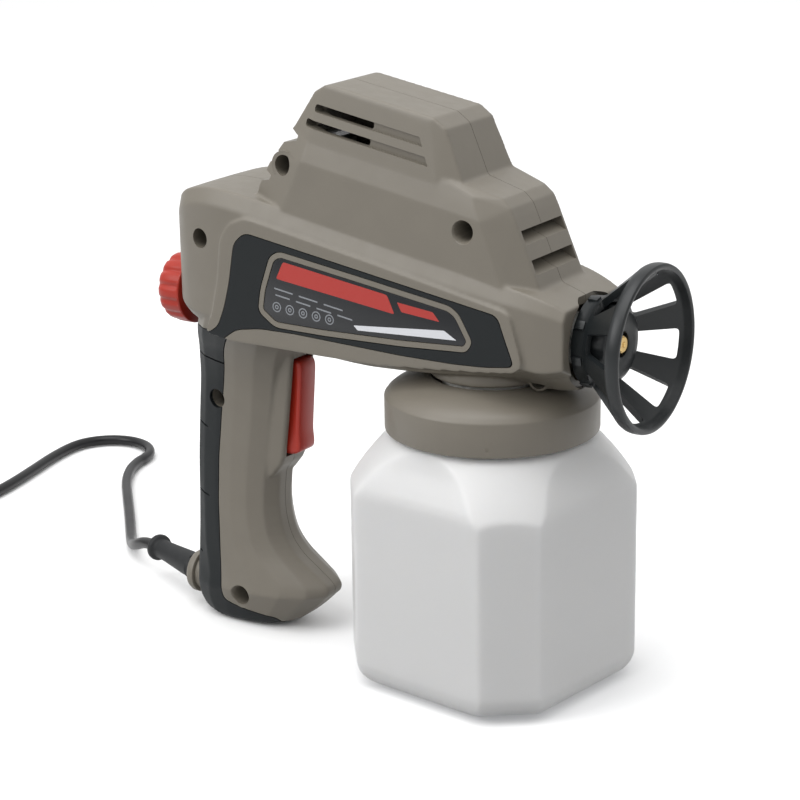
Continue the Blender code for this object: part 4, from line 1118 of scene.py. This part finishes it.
def build_plug():
    """A flat two-pin mains plug with a ribbed neck."""
    sections = [(0.0, 2.9, 2.9), (0.3, 3.2, 3.2)]
    for rib in range(3):
        start = 2.2 + 2.8 * rib
        sections += [(start + dy, half, half) for dy, half in ((0, 3.5), (0.2, 2.9), (1.1, 2.9), (1.3, 3.7))]
    sections += [
        (11.4, 4.4, 4.2), (12.8, 6.0, 5.2), (14.4, 8.8, 6.2), (16.8, 12.6, 6.7), (19.4, 15.2, 6.9),
        (24.0, 16.9, 6.9), (30.0, 17.4, 6.9), (35.4, 17.6, 6.9), (47.0, 17.6, 6.9), (48.6, 17.2, 6.6),
        (49.4, 16.4, 5.9),
    ]
    plug = loft("mains_plug_body", [plug_ring(*section) for section in sections])
    end = PLUG_REAR_Y + 49.4
    pins = []
    for number, dx in enumerate((-9.3, 9.3), 1):
        x = PLUG_X + dx
        cut(plug, turned("pin_hole", [(0, 2.35), (9.0, 2.35)], (x, end - 8.0, PLUG_Z), (0, 1, 0), 32))
        pin = turned(f"mains_pin_{number}", [(0, 2.0), (24.6, 2.0), (25.6, 1.7), (26.1, 1.1), (26.2, 0.5)],
                     (x, end - 7.7, PLUG_Z), (0, 1, 0), 40)
        pins.append(finish_piece(pin, "brass", "gun_body", "brass", f"plug_pin_{number}"))
    plug.name = "mains_plug_body"
    finish_piece(plug, "black", "gun_body", "black_plastic", "plug_body", angle=40)
    return plug, pins


# ---------------------------------------------------------------- inner parts


def spring_coil(name, start, length, mean_r, wire_r, turns, joint, anchor, keep, body, *nodes):
    """A compression spring wound along +X; its joint is not used."""
    rings = []
    steps = turns * 28
    for step in range(steps + 1):
        t = step / steps
        angle = 2 * math.pi * turns * t
        outward, along = Vector((0, math.cos(angle), math.sin(angle))), Vector((1, 0, 0))
        reach = wire_r + (length - 2 * wire_r) * t
        centre = Vector(start) + along * reach + outward * mean_r
        rings.append([tuple(centre + (outward * math.cos(a) + along * math.sin(a)) * wire_r)
                      for a in (2 * math.pi * k / 10 for k in range(10))])
    spring = loft(name, rings)
    finish_piece(spring, "steel", body, "steel", *nodes)
    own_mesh(spring)


CAD_FINISHES = {
    "steel": ("magnet_core", "armature", "armature_pin", "control_spindle", "piston"),
    "copper": ("coil_winding",), "brass": ("atomizer_valve", "spindle_bush"),
    "nylon": ("pump_body", "coil_bobbin", "cord_clamp", "switch_plunger"),
    "black": ("trigger_switch", "spring_seat"),
    "rubber": ("container_gasket", "nozzle_o_ring", "stop_buffer"),
}


def finish_cad_nodes():
    for finish, names in CAD_FINISHES.items():
        for name in names:
            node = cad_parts[name]
            node.data.materials.clear()
            node.data.materials.append(MATERIALS[finish])


def build_springs():
    spring_coil("trigger_return_spring", (-118.6, 0, 88.0), 11.2, 2.9, 0.5, 6, "trigger_pull",
                (-0.1186, 0, 0.088), (11.2 - 4.0) / 11.2, "gun_body", "trigger_spring")
    spring_coil("piston_return_spring", (-66.6, 0, NOZZLE_Z), 32.8, 4.35, 0.65, 10, "piston_stroke",
                (-0.0338, 0, NOZZLE_Z * MM), (32.8 - 5.5) / 32.8, "gun_body", "piston_spring")


# ---------------------------------------------------------------- camera, light and floor


CAMERA_TARGET, CAMERA_DISTANCE, CAMERA_LENS = Vector((-30.8, -19.9, 116.1)), 929, 105.2
CAMERA_ANGLES = (33.16, 17.09, -0.88)   # turn, lift and roll
FLOOR_REACH, FLOOR_LEVEL = 12000, -0.4


def add_camera():
    turn, lift, roll = (math.radians(angle) for angle in CAMERA_ANGLES)
    right = Vector((math.cos(turn), math.sin(turn), 0))
    back = Vector((math.sin(turn) * math.cos(lift), -math.cos(turn) * math.cos(lift), math.sin(lift)))
    up = back.cross(right)
    side = right * math.cos(roll) + up * math.sin(roll)
    top = up * math.cos(roll) - right * math.sin(roll)
    data = bpy.data.cameras.new("camera")
    data.sensor_width, data.lens = 36.0, CAMERA_LENS
    camera = bpy.data.objects.new("camera", data)
    place = CAMERA_TARGET * MM + back * CAMERA_DISTANCE * MM
    camera.matrix_world = Matrix((
        (side.x, top.x, back.x, place.x), (side.y, top.y, back.y, place.y),
        (side.z, top.z, back.z, place.z), (0, 0, 0, 1),
    ))
    bpy.context.scene.collection.objects.link(camera)
    bpy.context.scene.camera = camera


def add_light(name, place, target, size, power):
    data = bpy.data.lights.new(name, "AREA")
    data.size, data.energy = size, power
    lamp = bpy.data.objects.new(name, data)
    lamp.location = place
    aim = Vector(target) - Vector(place)
    lamp.rotation_euler = aim.to_track_quat("-Z", "Y").to_euler()
    bpy.context.scene.collection.objects.link(lamp)


def add_world():
    """A white sky that is brighter overhead than at the horizon."""
    world = bpy.data.worlds.new("studio")
    world.use_nodes = True
    nodes, links = world.node_tree.nodes, world.node_tree.links
    heights = nodes.new("ShaderNodeSeparateXYZ")
    links.new(nodes.new("ShaderNodeTexCoord").outputs["Generated"], heights.inputs["Vector"])
    dome = nodes.new("ShaderNodeMapRange")
    for slot, value in (("From Min", -0.1), ("From Max", 0.5), ("To Min", 0.42), ("To Max", 1.15)):
        dome.inputs[slot].default_value = value
    links.new(heights.outputs["Z"], dome.inputs["Value"])
    links.new(dome.outputs["Result"], nodes["Background"].inputs["Strength"])
    nodes["Background"].inputs["Color"].default_value = (1.0, 1.0, 1.0, 1.0)
    bpy.context.scene.world = world


def add_floor():
    """A wide pale floor, which doesn't light the gun from below."""
    ways = ((-1, -1), (1, -1), (1, 1), (-1, 1))
    corners = [(FLOOR_REACH * i, FLOOR_REACH * j, FLOOR_LEVEL) for i, j in ways]
    floor = mesh_object("floor", corners, [(0, 1, 2, 3)])
    paper = Shader("floor_paper", (0.86, 0.86, 0.86), 0.9)
    paper.bump(paper.noise(3.0), 0.05)
    floor.data.materials.append(paper.made)
    floor.visible_diffuse = False


def add_studio():
    bpy.context.scene.view_settings.view_transform = "Standard"
    add_world()
    add_light("top_softbox", (-0.15, -0.25, 1.3), (-0.05, 0, 0.1), 1.0, 9)
    add_light("left_softbox", (-0.75, -1.15, 0.95), (-0.05, 0, 0.12), 0.8, 9)
    add_floor()


# ---------------------------------------------------------------- everything


def build():
    add_camera()
    build_cord()
    add_studio()
    form = housing_form()
    build_housing(form)
    build_grips(form)
    bpy.data.objects.remove(form, do_unlink=True)
    build_labels()
    build_trigger()
    build_knob()
    build_screws()
    build_container()
    build_lid()
    build_suction()
    build_guard()
    build_nozzle()
    build_relief()
    build_springs()
    finish_cad_nodes()


build()
